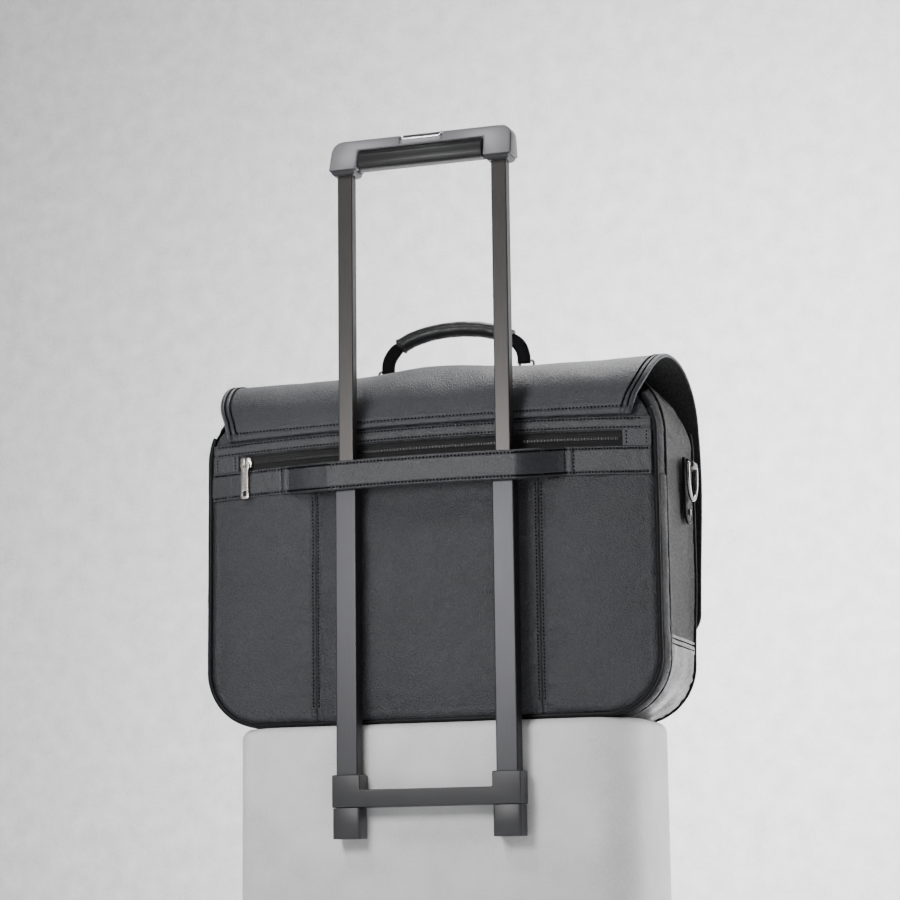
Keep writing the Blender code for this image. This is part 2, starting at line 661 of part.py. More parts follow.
def carry_handle(leather, trim, metal):
    line = handle_line(20)
    last = len(line) - 1
    sleeve = range(4, last - 3)
    slim = lambda at: 4.6 * MM if at in sleeve else (5.6 * MM if at in (3, last - 3) else 7.2 * MM)
    strap = swept("handle_strap", line, slim, lambda at: 3.3 * MM, HANDLE_Y, leather, 12, 5)
    wrap = line[sleeve[0] + 1 : sleeve[-1]]
    swept(
        "handle_sleeve", wrap, lambda at: 6.5 * MM, lambda at: 8 * MM, HANDLE_Y, trim, 12, 2.4,
        hole=(5.1 * MM, 3.8 * MM, 5),
    )  # fmt: skip
    for side, name in ((-1, "left"), (1, "right")):
        x = side * HANDLE_HALF_SPAN
        ground = ground_at(x, HANDLE_Y) + GAP
        top, low = HANDLE_PIVOT_Z, ground + 1.9 * MM
        loop = [(x - 9 * MM, HANDLE_Y, low), (x - 9 * MM, HANDLE_Y, top), (x + 9 * MM, HANDLE_Y, top),
                (x + 9 * MM, HANDLE_Y, low)]  # fmt: skip
        wire(f"handle_ring_{name}", loop, 1.1 * MM, metal, closed=True)
        hump = [(-14, 0.1), (-9, 0.2), (-5.5, 0.1), (-3, 2.3), (0, 3.4), (3, 2.3), (5.5, 0.1), (9, 0.3), (14, 0.2)]
        rings = []
        for off, rise in hump:
            y = HANDLE_Y + off * MM
            z = max(ground_at(x - 7 * MM, y), ground_at(x + 7 * MM, y)) + GAP + rise * MM
            upper = z + 1.3 * MM
            rings.append([(x - 7 * MM, y, z), (x + 7 * MM, y, z), (x + 7 * MM, y, upper), (x - 7 * MM, y, upper)])
        rings_solid(f"handle_tab_{name}", rings, trim)
        knuckle = []
        for k in range(16):
            t = 2 * math.pi * k / 16
            knuckle.append((HANDLE_Y + 3.4 * MM * math.cos(t), top + 3.4 * MM * math.sin(t)))
        loop_end = extruded(f"guide_end_{name}", knuckle, x - 7.0 * MM, x + 7.0 * MM, leather, "X", 0.4 * MM, 1)
        join(strap, loop_end)
        bore = cylinder(f"guide_bore_{name}", (x, HANDLE_Y, top), (1, 0, 0), 1.5 * MM, 30 * MM, leather, 16)
        cut(strap, bore)


# ---------------------------------------------------------------- shoulder-strap rings
def ring_sets(leather, metal):
    for side, name in ((-1, "left"), (1, "right")):
        low_x, high_x = HALF_W + GAP, HALF_W + GAP + 2.4 * MM
        half = RING_TAB_HALF_W
        tab = [(RING_Y - half, 0.232), (RING_Y - half, 0.186)]
        tab += arc(RING_Y, 0.186, half, 180, 360, 8)[1:]
        tab += [(RING_Y + half, 0.232)]
        edges = (side * low_x, side * high_x)
        extruded(f"ring_tab_{name}", tab, min(edges), max(edges), leather, "X", 0.5 * MM, 1)
        px, pz = side * RING_PIVOT_X, RING_PIVOT_Z
        base_x = side * (high_x + GAP)
        keeper = [(base_x, pz + 6 * MM), (base_x, pz + 2.2 * MM)]
        keeper += [(px + side * 2.1 * MM * math.cos(math.radians(t)), pz + 2.1 * MM * math.sin(math.radians(t)))
                   for t in (90, 60, 30, 0, -30, -60, -90)]  # fmt: skip
        keeper += [(base_x, pz - 2.2 * MM), (base_x, pz - 6 * MM)]
        keeper += [(px + side * 3.7 * MM * math.cos(math.radians(t)), pz + 3.7 * MM * math.sin(math.radians(t)))
                   for t in (-90, -60, -30, 0, 30, 60, 90)]  # fmt: skip
        extruded(f"ring_keeper_{name}", keeper, RING_Y - 7 * MM, RING_Y + 7 * MM, metal, "Y", 0.0)
        wide, drop = RING_HALF_W, RING_DROP
        loop = [(RING_Y - wide, pz), (RING_Y + wide, pz)]
        loop += [(RING_Y + wide * math.cos(math.radians(t)), pz - 9 * MM + (drop - 9 * MM) * math.sin(math.radians(t)))
                 for t in range(0, -181, -20)]  # fmt: skip
        wire(f"shoulder_ring_{name}", [(px, y, z) for y, z in loop], RING_WIRE, metal, closed=True)
        rivet_x = side * (high_x + GAP + 0.6 * MM)
        cylinder(f"ring_rivet_{name}", (rivet_x, RING_Y, 0.184), (1, 0, 0), 3.2 * MM, 1.2 * MM, metal, 18, 0.3 * MM)


# ---------------------------------------------------------------- the luggage's pull handle
def square_tube(name, x, size, bore, low, high, look):
    """A rectangular tube with rounded edges, open at both ends."""

    def ring(sides, r, z):
        a, b = sides[0] / 2, sides[1] / 2
        points = []
        for cx, cy, start in ((a - r, b - r, 0), (-a + r, b - r, 90), (-a + r, -b + r, 180), (a - r, -b + r, 270)):
            points += arc(cx, cy, r, start, start + 90, 3)
        return [(x + px, TUBE_Y + py, z) for px, py in points]

    outer, inner = 2.4 * MM, 1.3 * MM
    rings = [ring(size, outer, low), ring(size, outer, high), ring(bore, inner, high), ring(bore, inner, low)]
    return rings_solid(name, rings, look, closed=True)


def less(size, wall):
    """The bore that leaves this wall."""
    return (size[0] - 2 * wall, size[1] - 2 * wall)


def leaned(y, z, near, far):
    """How far a point of the grip moves forward with its leaning rear face."""
    bottom, top = GRIP_Z
    return GRIP_LEAN * (z - bottom) / (top - bottom) * (far - y) / (far - near)


def lean_forward(target, near, far):
    for vertex in target.data.vertices:
        vertex.co.y += leaned(vertex.co.y, vertex.co.z, near, far)


def pull_handle(tube_metal, collar_plastic, grip_plastic, rubber, chrome, steel):
    for side, name in ((-1, "left"), (1, "right")):
        x = side * TUBE_X
        square_tube(f"lower_tube_{name}", x, LOWER_TUBE, less(LOWER_TUBE, TUBE_WALL), LOWER_FOOT_Z, STAGE_Z, tube_metal)
        square_tube(f"upper_tube_{name}", x, UPPER_TUBE, less(UPPER_TUBE, TUBE_WALL), UPPER_FOOT_Z, 485.6 * MM, tube_metal)
        cap_size = less(LOWER_TUBE, -0.5 * MM)
        cap_bore = less(UPPER_TUBE, -0.35 * MM)
        square_tube(f"stage_cap_{name}", x, cap_size, cap_bore, STAGE_Z + GAP, STAGE_Z + 4 * MM, collar_plastic)
        square_tube(
            f"guide_sleeve_{name}", x, (COLLAR[0] - 0.6 * MM, 19.6 * MM), less(LOWER_TUBE, -0.5 * MM),
            LOWER_FOOT_Z - 2 * MM, BRIDGE_Z[0] - GAP, collar_plastic,
        )  # fmt: skip
    out, inn = TUBE_X + COLLAR[0] / 2, TUBE_X - COLLAR[0] / 2
    low, high = BRIDGE_Z
    shape = [(-out, low), (out, low), (out, COLLAR_TOP_Z), (inn, COLLAR_TOP_Z), (inn, high), (-inn, high),
             (-inn, COLLAR_TOP_Z), (-out, COLLAR_TOP_Z)]  # fmt: skip
    bridge = extruded(
        "collar_bridge", shape, BRIDGE_BACK_Y - COLLAR[1], BRIDGE_BACK_Y, collar_plastic, "Y", 0.8 * MM, 1
    )
    for side in (-1, 1):
        bore = (LOWER_TUBE[0] / 2 + GAP, LOWER_TUBE[1] / 2 + GAP)
        hole = box(
            f"guide_collar_{side + 1}", (side * TUBE_X - bore[0], TUBE_Y - bore[1], low - 0.01),
            (side * TUBE_X + bore[0], TUBE_Y + bore[1], COLLAR_TOP_Z + 0.01), collar_plastic,
        )  # fmt: skip
        cut(bridge, hole)

    near, far = TUBE_Y - GRIP_DEPTH / 2, TUBE_Y + GRIP_DEPTH / 2
    bottom, top = GRIP_Z
    shell = [(-85.5, 0), (-59.2, 0), (-58.7, 18.3), (58.7, 18.3), (59.2, 0), (85.5, 0), (84.4, 20), (82.5, 25),
             (78, 28.4), (72, 29), (-72, 29), (-78, 28.4), (-82.5, 25), (-84.4, 20)]  # fmt: skip
    grip = extruded(
        "grip_shell", [(a * MM, bottom + b * MM) for a, b in shell], near, far, grip_plastic, "Y", 2.0 * MM, 3
    )
    lean_forward(grip, near, far)
    channel = box(
        "guide_channel", (-0.0765, TUBE_Y - 3.2 * MM, bottom - 0.01), (0.0765, TUBE_Y + 3.2 * MM, 514.6 * MM), steel
    )
    window = box(
        "guide_window", (-WINDOW_HALF, near - 0.01, WINDOW_LOW), (WINDOW_HALF, near + WINDOW_DEPTH, top + 0.01), steel
    )
    cut(grip, channel)
    cut(grip, window)
    low, high = bottom + 0.4 * MM, bottom + 17.5 * MM
    front, rear = far - 1.4 * MM, near + 0.6 * MM
    bar_section = [(front - 2 * MM, high), (front, high - 2 * MM)] + arc(front - 7 * MM, low + 7 * MM, 7 * MM, 0, -90, 4)
    bar_section += arc(rear + 7 * MM, low + 7 * MM, 7 * MM, -90, -180, 4) + [(rear, high - 5 * MM), (rear + 5 * MM, high)]
    bar = extruded("grip_bar", bar_section, -0.0579, 0.0579, rubber, "X", 0.8 * MM, 2)
    for side, name in ((-1, "left"), (1, "right")):
        x = side * TUBE_X
        foot = rings_solid(
            f"grip_foot_{name}",
            [[(x + a * MM, TUBE_Y + b * MM, z * MM) for a, b in corners] for z, corners in (
                (486.0, ((-8.5, -7.5), (8.5, -7.5), (8.5, 7.5), (-8.5, 7.5))),
                (487.4, ((-10.5, -9.5), (10.5, -9.5), (10.5, 9.5), (-10.5, 9.5))),
                (489.7, ((-11.2, -11), (11.2, -11), (11.2, 11), (-11.2, 11))),
            )],
            collar_plastic,
        )  # fmt: skip
        bore = cylinder(f"guide_rod_{name}", (x, TUBE_Y, 0.488), (0, 0, 1), 2.5 * MM, 20 * MM, steel, 16)
        cut(foot, bore)
    rods = box(
        "release_rods", (-0.0755, TUBE_Y - 2.6 * MM, 511.0 * MM), (0.0755, TUBE_Y + 2.6 * MM, 513.4 * MM), steel
    )
    for side in (-1, 1):
        rod = cylinder(
            f"guide_push_{side + 1}", (side * TUBE_X, TUBE_Y, 0.356), (0, 0, 1), 1.8 * MM, 0.312, steel, 12
        )
        join(rods, rod)
    inset = 2.6 * MM
    button = box(
        "release_button", (-WINDOW_HALF + inset, near + 3.0 * MM, 513.7 * MM),
        (WINDOW_HALF - inset, near + WINDOW_DEPTH - 5.2 * MM, top + 0.2 * MM), rubber, 0.8 * MM, 2,
    )  # fmt: skip
    lean_forward(button, near, far)
    out_x, low_z = WINDOW_HALF - 1.3 * MM, WINDOW_LOW + 1.2 * MM
    face_y, far_y = near + 0.6 * MM, near + WINDOW_DEPTH - 3.6 * MM
    turn = 1.1 * MM
    loop = [(-out_x + turn, face_y, low_z), (out_x - turn, face_y, low_z), (out_x, face_y, low_z + turn),
            (out_x, face_y + 0.6 * MM, top), (out_x, far_y - turn, top), (out_x - turn, far_y, top),
            (-out_x + turn, far_y, top), (-out_x, far_y - turn, top), (-out_x, face_y + 0.6 * MM, top),
            (-out_x, face_y, low_z + turn)]  # fmt: skip
    rim = [(x, y + leaned(y, z, near, far), z) for x, y, z in loop]
    wire("button_rim", rim, 0.7 * MM, chrome, closed=True)


# ---------------------------------------------------------------- build
def main():
    for old in list(bpy.data.objects):
        bpy.data.objects.remove(old, do_unlink=True)
    leather = material("grained_leather", (0.035, 0.036, 0.040), 0.48)
    smooth = material("smooth_leather", (0.045, 0.045, 0.048), 0.34)
    trim = material("trim_leather", (0.020, 0.020, 0.022), 0.36)
    lining = material("lining", (0.06, 0.06, 0.07), 0.85)
    board = material("board", (0.30, 0.28, 0.25), 0.8)
    tape = material("zip_tape", (0.012, 0.012, 0.013), 0.7)
    nickel = material("nickel", (0.68, 0.65, 0.62), 0.24, 1.0)
    steel = material("steel", (0.55, 0.55, 0.56), 0.35, 1.0)
    tube_metal = material("tube_metal", (0.19, 0.18, 0.18), 0.38, 0.9)
    collar_plastic = material("collar_plastic", (0.045, 0.045, 0.048), 0.5)
    grip_plastic = material("grip_plastic", (0.30, 0.30, 0.32), 0.42, 0.3)
    rubber = material("grip_rubber", (0.018, 0.018, 0.018), 0.45)
    chrome = material("chrome", (0.85, 0.85, 0.87), 0.08, 1.0)

    case_body(leather, smooth, lining, board, trim)
    front_pocket(leather, nickel)
    trolley_strap(leather)
    zip_fastener(tape, nickel, leather)
    flap(leather, nickel)
    carry_handle(leather, trim, nickel)
    ring_sets(trim, nickel)
    made_before = set(bpy.data.objects)
    pull_handle(tube_metal, collar_plastic, grip_plastic, rubber, chrome, steel)
    for piece in set(bpy.data.objects) - made_before:
        piece.location.x = HANDLE_SHIFT


main()
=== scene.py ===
"""The looks of a black leather flap-over laptop case on a telescopic luggage handle.

Metres, +Z up. The handle and the trolley strap face -Y, and the flap hangs down the +Y side.
"""

import math

import bpy
import numpy as np
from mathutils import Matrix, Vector


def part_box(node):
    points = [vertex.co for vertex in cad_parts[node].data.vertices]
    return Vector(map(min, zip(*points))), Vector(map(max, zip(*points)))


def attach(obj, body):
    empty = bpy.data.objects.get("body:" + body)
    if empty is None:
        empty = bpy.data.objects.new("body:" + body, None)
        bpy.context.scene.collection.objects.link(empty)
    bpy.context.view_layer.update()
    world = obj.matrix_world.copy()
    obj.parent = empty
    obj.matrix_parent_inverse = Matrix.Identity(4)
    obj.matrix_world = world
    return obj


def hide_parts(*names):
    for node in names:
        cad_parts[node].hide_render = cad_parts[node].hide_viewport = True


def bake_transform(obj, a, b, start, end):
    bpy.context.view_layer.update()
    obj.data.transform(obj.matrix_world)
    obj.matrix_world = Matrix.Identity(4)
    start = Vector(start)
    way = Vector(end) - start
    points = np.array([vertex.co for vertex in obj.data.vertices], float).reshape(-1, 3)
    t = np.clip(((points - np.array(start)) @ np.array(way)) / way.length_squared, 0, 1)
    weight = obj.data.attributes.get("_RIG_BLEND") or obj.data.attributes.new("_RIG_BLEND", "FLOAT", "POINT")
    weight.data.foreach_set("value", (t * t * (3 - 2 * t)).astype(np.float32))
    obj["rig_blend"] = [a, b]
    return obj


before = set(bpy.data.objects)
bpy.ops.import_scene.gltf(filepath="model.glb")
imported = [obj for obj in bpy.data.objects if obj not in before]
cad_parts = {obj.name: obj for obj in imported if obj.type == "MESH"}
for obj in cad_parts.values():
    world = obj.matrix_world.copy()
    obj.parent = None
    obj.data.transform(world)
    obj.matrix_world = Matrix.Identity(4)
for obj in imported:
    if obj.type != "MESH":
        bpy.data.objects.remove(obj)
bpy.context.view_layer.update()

MM = 0.001

# ---------------------------------------------------------------- dimensions, as in the CAD model
HALF_W = 207.5 * MM
TOP_Z = 298 * MM
CORNER_LOW = 50 * MM
CORNER_HIGH = 60 * MM
CORNER_RISE = 9 * MM
BACK_Y = -60 * MM
BACK_BULGE = 4 * MM
BULGE_Z = 140 * MM  # the bulge's middle, and how far up and down from it the bulge reaches
BULGE_REACH = 150 * MM
LEAN_Z = 252 * MM  # above this the back leans inwards, by LEAN times the square of the height
LEAN = 9.5
MID_Y = -29.5 * MM
FRONT_Y = 61 * MM
FRONT_TOP_Z = 262 * MM
FRONT_FLARE = 13 * MM
FLARE_Z = (50 * MM, 130 * MM)  # where the front flares out
ARCH = 5 * MM  # how far strap, zip and yoke dip from the middle to the edge
GUSSET_TOP_Z = 290 * MM
GUSSET_SHOULDER_Z = 244 * MM
BINDING_Z = 203 * MM  # above this a broad binding covers the laptop section's side
WRAP_Z = 68 * MM  # top of the smooth base leather on the sides
PANEL_INSET = 2.7 * MM
SEAM_X = 103 * MM
STITCH = 3.2 * MM
STRAP_Z = 220 * MM
STRAP_H = 26 * MM
STRAP_T = 2.6 * MM
STRAP_BOW_Y = -93 * MM
STRAP_FLAT_X = 91 * MM
STRAP_OFFSET = 11 * MM  # on the left it turns in this much earlier, as the tubes stand to the right
STRAP_SAG = 5.5 * MM  # how far its free middle hangs
STRAP_SEWN_X = 127 * MM
ZIP_Z = 239 * MM
ZIP_END_X = 178 * MM
YOKE_TOP_Z = 285.5 * MM
POUCH_Z = (20 * MM, 190 * MM)
POUCH_HALF_W = 176 * MM
POUCH_DEPTH = 9 * MM
FLAP_T = 2.6 * MM
FLAP_CORNER = 22 * MM
FLAP_CROWN = 10 * MM
FLAP_BUMP = 7 * MM
FLAP_BUMP_X = -5 * MM
# the flap's profile (y, z), from the rear seam over the top and down the front, and half its width, in mm
FLAP_YZ = [(-64.6, 260.5), (-62.3, 273), (-55, 288), (-41, 301.5), (-21, 311.5), (5, 316), (36, 312.5),
           (63, 300.5), (78, 283), (87, 259), (92, 227), (92.5, 196), (91.5, 165), (89.5, 135),
           (86.5, 104), (81.5, 74)]  # fmt: skip
FLAP_HALF_W = [186, 191, 198, 202, 205, 206.5, 208, 209] + [210] * 8
HANDLE_Y = 24 * MM
GRIP_LEAN = 8 * MM
HANDLE_PIVOT_Z = 329 * MM
HANDLE_HALF_SPAN = 65.5 * MM
HANDLE_APEX_Z = 363.5 * MM
RING_Y = 44 * MM
RING_PIVOT_Z = 226 * MM
RING_PIVOT_X = 213.5 * MM
RING_HALF_W = 16 * MM
RING_DROP = 31 * MM
RING_WIRE = 1.9 * MM


# ---------------------------------------------------------------- small maths
def smooth(low, high, value):
    """0 below low, 1 above high, and a smooth rise between them."""
    t = np.clip((value - low) / (high - low), 0, 1)
    return t * t * (3 - 2 * t)


def hump(value, centre, width):
    """A soft bump of height 1 round centre."""
    return np.exp(-(((value - centre) / width) ** 2))


def waves(seed, length, count=9):
    """A smooth pattern of crossing waves about this long, mostly from -1 to 1, the same each run."""
    rng = np.random.default_rng(seed)
    turn = rng.uniform(0, 2 * math.pi, count)
    k = 2 * math.pi / length * rng.uniform(0.6, 1.5, count)
    phase = rng.uniform(0, 2 * math.pi, count)

    def value(u, v):
        u, v = np.broadcast_arrays(np.asarray(u, float), np.asarray(v, float))
        total = np.zeros(u.shape)
        for i in range(count):
            total += np.sin(k[i] * (u * math.cos(turn[i]) + v * math.sin(turn[i])) + phase[i])
        return total / math.sqrt(count)

    return value


def xyz(x, y, z):
    """Points from three coordinates that broadcast together."""
    return np.stack(np.broadcast_arrays(x, y, z), -1)


def travelled(*coordinates):
    """The distance along a line to each of its points."""
    steps = sum(np.diff(values) ** 2 for values in coordinates)
    return np.concatenate([[0], np.cumsum(np.sqrt(steps))])


def unit(vectors):
    return vectors / np.maximum(np.linalg.norm(vectors, axis=-1, keepdims=True), 1e-12)


# ---------------------------------------------------------------- shapes that several pieces follow
def arch(x):
    return -ARCH * (x / HALF_W) ** 2


def front_y(z):
    return FRONT_Y + FRONT_FLARE * smooth(*FLARE_Z, z)


def back_y(x, z):
    """The outer face of the back panel."""
    across = np.maximum(0.0, 1 - np.abs(x / HALF_W) ** 4)
    up = np.maximum(0.0, 1 - np.abs((z - BULGE_Z) / BULGE_REACH) ** 4)
    return BACK_Y - BACK_BULGE * across * np.sqrt(up) + LEAN * np.maximum(0.0, z - LEAN_Z) ** 2


def width_at(z, inset):
    """Half the case's width at a height."""
    half, low, high = HALF_W - inset, CORNER_LOW - inset, CORNER_HIGH - inset
    drop = np.maximum(0.0, inset + low - z)
    rise = np.maximum(0.0, z - (TOP_Z - inset - high))
    bottom = low - np.sqrt(np.maximum(0.0, low**2 - drop**2))
    top = high - np.sqrt(np.maximum(0.0, high**2 - rise**2))
    return half - bottom - top


def edge_distance(x, z, inset):
    """How far a point on the back lies inside the rounded outline's sides and base."""
    low = CORNER_LOW - inset
    qx = np.abs(x) - (HALF_W - inset - low)
    qz = inset + low - z
    outside = np.hypot(np.maximum(qx, 0), np.maximum(qz, 0))
    return low - outside - np.minimum(np.maximum(qx, qz), 0)


def outline(inset, low_z, top_z, step=3 * MM):
    """Points (x, z) and outward normals of the case's right half, from the base's middle up the side."""
    half, low, high = HALF_W - inset, CORNER_LOW - inset, CORNER_HIGH - inset
    side_top = TOP_Z - inset - high
    rows = []
    for k in range(math.ceil((half - low) / step)):
        rows.append((k * step, inset, 0, -1))
    for centre_z, radius, start in ((inset + low, low, -90), (side_top, high, 0)):
        count = math.ceil(radius * math.pi / 2 / step)
        for k in range(count + 1):
            t = math.radians(start + 90 * k / count)
            c, s = math.cos(t), math.sin(t)
            rows.append((half - radius + radius * c, centre_z + radius * s, c, s))
        if start < 0:
            count = math.ceil((side_top - inset - low) / step)
            for k in range(1, count):
                rows.append((half, inset + low + (side_top - inset - low) * k / count, 1, 0))
    rows = np.array(rows)
    return rows[(rows[:, 1] >= low_z - 1e-9) & (rows[:, 1] <= top_z + 1e-9)]


def whole_outline(inset, top_z, step=3 * MM):
    """The same from the left top, round the base, to the right top."""
    right = outline(inset, 0, top_z, step)
    left = right[:0:-1] * [-1, 1, -1, 1]
    return np.concatenate([left, right])


# ---------------------------------------------------------------- materials
def node(tree, kind, inputs=None, **settings):
    """Adds a shader node. An input's value is a number, a colour or another node's output."""
    made = tree.nodes.new("ShaderNode" + kind)
    for key, value in settings.items():
        setattr(made, key, value)
    for key, value in (inputs or {}).items():
        if isinstance(value, bpy.types.NodeSocket):
            tree.links.new(value, made.inputs[key])
        else:
            made.inputs[key].default_value = value
    return made


def start_material(name):
    made = bpy.data.materials.new(name)
    made.use_nodes = True
    tree = made.node_tree
    shader = tree.nodes["Principled BSDF"]
    place = node(tree, "TexCoord").outputs["Object"]
    return made, tree, shader, place


def noise(tree, place, scale, detail=3.0, rough=0.55):
    made = node(tree, "TexNoise", {"Vector": place, "Scale": scale, "Detail": detail, "Roughness": rough})
    return made.outputs["Fac"]


def ranged(tree, value, low, high, to_low, to_high):
    inputs = {"Value": value, "From Min": low, "From Max": high, "To Min": to_low, "To Max": to_high}
    return node(tree, "MapRange", inputs).outputs["Result"]


def mixed(tree, share, first, second):
    """A blend of two colours. The colour sockets of a Mix node are inputs 6 and 7, and output 2."""
    return node(tree, "Mix", {0: share, 6: first, 7: second}, data_type="RGBA").outputs[2]


def summed(tree, first, second, share):
    """first + second * share."""
    made = node(tree, "Math", {0: second, 1: share, 2: first}, operation="MULTIPLY_ADD")
    return made.outputs[0]


def bumped(tree, shader, height, distance, strength=1.0):
    made = node(tree, "Bump", {"Height": height, "Distance": distance, "Strength": strength})
    tree.links.new(made.outputs["Normal"], shader.inputs["Normal"])


def rgba(colour, factor=1.0):
    return (*(c * factor for c in colour), 1.0)


def leather(name, colour, grain, roughness, depth, coat=0.0, wear=1.5, specular=0.5):
    """Leather with pebbled grain of the given cell size, fine pores, polished crests and uneven dye.

    wear is how much lighter the crests are than the dye.
    """
    made, tree, shader, place = start_material(name)
    warp = node(tree, "TexNoise", {"Vector": place, "Scale": 0.5 / grain, "Detail": 2.0}).outputs["Color"]
    moved = node(tree, "VectorMath", {0: warp, 1: (grain * 0.9,) * 3, 2: place}, operation="MULTIPLY_ADD")
    inputs = {"Vector": moved.outputs[0], "Scale": 1 / grain, "Randomness": 1.0}
    cells = node(tree, "TexVoronoi", inputs, feature="SMOOTH_F1")
    pores = noise(tree, place, 2.6 / grain, 2.0)
    broad = noise(tree, place, 14.0, 3.0)
    patches = noise(tree, place, 90.0, 3.0)
    crest = ranged(tree, cells.outputs["Distance"], 0.05, 0.75, 1.0, 0.0)
    height = summed(tree, crest, pores, 0.5)
    height = summed(tree, height, patches, 0.4)
    tint = mixed(tree, ranged(tree, broad, 0.3, 0.7, 0.0, 1.0), rgba(colour, 0.82), rgba(colour, 1.18))
    tint = mixed(tree, ranged(tree, crest, 0.30, 0.90, 0.0, 0.6), tint, rgba(colour, wear))
    tree.links.new(tint, shader.inputs["Base Color"])
    shine = summed(tree, ranged(tree, crest, 0.2, 1.0, roughness + 0.22, roughness), patches, 0.06)
    tree.links.new(shine, shader.inputs["Roughness"])
    shader.inputs["Specular IOR Level"].default_value = specular
    shader.inputs["Coat Weight"].default_value = coat
    shader.inputs["Coat Roughness"].default_value = 0.22
    shader.inputs["Sheen Weight"].default_value = 0.0
    bumped(tree, shader, height, depth)
    return made


def cloth(name, colour, pitch, roughness, depth):
    """Plain woven cloth, drawn in the piece's own x and z."""
    made, tree, shader, place = start_material(name)
    inputs = {"Vector": place, "Scale": 0.314 / pitch, "Distortion": 0.6, "Detail": 1.0}
    rows = {}
    for index, axis in enumerate("XZ"):
        rows[index] = node(tree, "TexWave", inputs, wave_type="BANDS", bands_direction=axis).outputs["Fac"]
    weave = node(tree, "Math", rows, operation="MAXIMUM").outputs[0]
    fuzz = noise(tree, place, 900.0, 2.0)
    shade = mixed(tree, weave, rgba(colour, 0.55), rgba(colour, 1.2))
    tint = mixed(tree, ranged(tree, fuzz, 0.3, 0.7, 0, 0.4), shade, rgba(colour, 1.6))
    tree.links.new(tint, shader.inputs["Base Color"])
    shader.inputs["Roughness"].default_value = roughness
    shader.inputs["Sheen Weight"].default_value = 0.25
    shader.inputs["Specular IOR Level"].default_value = 0.2
    bumped(tree, shader, summed(tree, weave, fuzz, 0.5), depth)
    return made


def metal(name, colour, roughness, scratch=(60, 60, 60), depth=0.00001, metallic=1.0, spread=0.10):
    """Metal with fine directional scratches and smudges that vary its gloss."""
    made, tree, shader, place = start_material(name)
    stretched = node(tree, "Mapping", {"Vector": place, "Scale": scratch}).outputs["Vector"]
    lines = noise(tree, stretched, 40.0, 4.0, 0.65)
    smudge = noise(tree, place, 45.0, 3.0)
    tint = mixed(tree, ranged(tree, lines, 0.3, 0.7, 0, 1), rgba(colour, 0.86), rgba(colour, 1.1))
    tree.links.new(tint, shader.inputs["Base Color"])
    gloss = summed(tree, ranged(tree, lines, 0.3, 0.7, roughness, roughness + spread), smudge, spread * 0.6)
    tree.links.new(gloss, shader.inputs["Roughness"])
    shader.inputs["Metallic"].default_value = metallic
    bumped(tree, shader, lines, depth)
    return made


def moulded(name, colour, roughness, texture, depth, coat=0.0, specular=0.5):
    """Moulded plastic or rubber with an etched texture of the given size."""
    made, tree, shader, place = start_material(name)
    etched = noise(tree, place, 1 / texture, 3.0)
    broad = noise(tree, place, 22.0, 2.0)
    tint = mixed(tree, ranged(tree, broad, 0.3, 0.7, 0, 1), rgba(colour, 0.9), rgba(colour, 1.1))
    tint = mixed(tree, ranged(tree, etched, 0.4, 0.7, 0, 0.3), tint, rgba(colour, 1.35))
    tree.links.new(tint, shader.inputs["Base Color"])
    gloss = ranged(tree, etched, 0.3, 0.7, roughness - 0.05, roughness + 0.1)
    tree.links.new(gloss, shader.inputs["Roughness"])
    shader.inputs["Coat Weight"].default_value = coat
    shader.inputs["Coat Roughness"].default_value = 0.3
    bumped(tree, shader, etched, depth)
    shader.inputs["Specular IOR Level"].default_value = specular
    return made


# leather: name, colour, size of the grain, roughness and depth of the relief
BLACK = (0.017, 0.0175, 0.0205)
GRAINED = leather("grained_black_leather", BLACK, 1.2 * MM, 0.27, 0.00062, wear=2.2)
ROOF = leather("grained_black_leather_roof", (0.021, 0.022, 0.026), 1.1 * MM, 0.30, 0.00036, wear=1.7)
# grained leather of the sides; its colour, lighter and warmer than the back's black, is painted light for
# the light falling on the sides
SIDE_LEATHER_PAINTED_LIGHT = leather("grained_black_leather_side_painted_light", (0.025, 0.0235, 0.0225), 1.5 * MM, 0.38, 0.0007,
                       wear=2.2, specular=0.18)  # fmt: skip
SMOOTH = leather("smooth_black_leather", (0.030, 0.030, 0.032), 2.4 * MM, 0.24, 0.00007, 0.35, 1.25)
DARK_SMOOTH = leather("dark_smooth_leather", (0.012, 0.012, 0.013), 2.4 * MM, 0.26, 0.00006, wear=1.25,
                      specular=0.4)  # fmt: skip
GUSSET_BAND = leather("gusset_band_leather", (0.010, 0.010, 0.011), 2.4 * MM, 0.26, 0.00006, wear=1.25,
                      specular=0.06)  # fmt: skip
STRAP = leather("strap_leather", (0.019, 0.0195, 0.0225), 1.1 * MM, 0.27, 0.00028, wear=1.7)
# welt and zip-end patches: the colour, lighter than the back's black, is painted light for the light that
# the raised welt catches
WELT_PAINTED_LIGHT = leather("welt_leather_painted_light", (0.026, 0.0265, 0.030), 1.2 * MM, 0.27, 0.00040, wear=1.7)
TRIM = leather("trim_black_leather", (0.010, 0.010, 0.011), 1.8 * MM, 0.22, 0.00006, wear=1.3,
               specular=0.07)  # fmt: skip
DARK_TRIM = leather("dark_trim_leather", (0.007, 0.007, 0.008), 1.8 * MM, 0.24, 0.00008, wear=1.4,
                    specular=0.03)  # fmt: skip
THREAD = moulded("black_thread", (0.0015, 0.0015, 0.0017), 0.6, 0.35 * MM, 0.00004, specular=0.06)
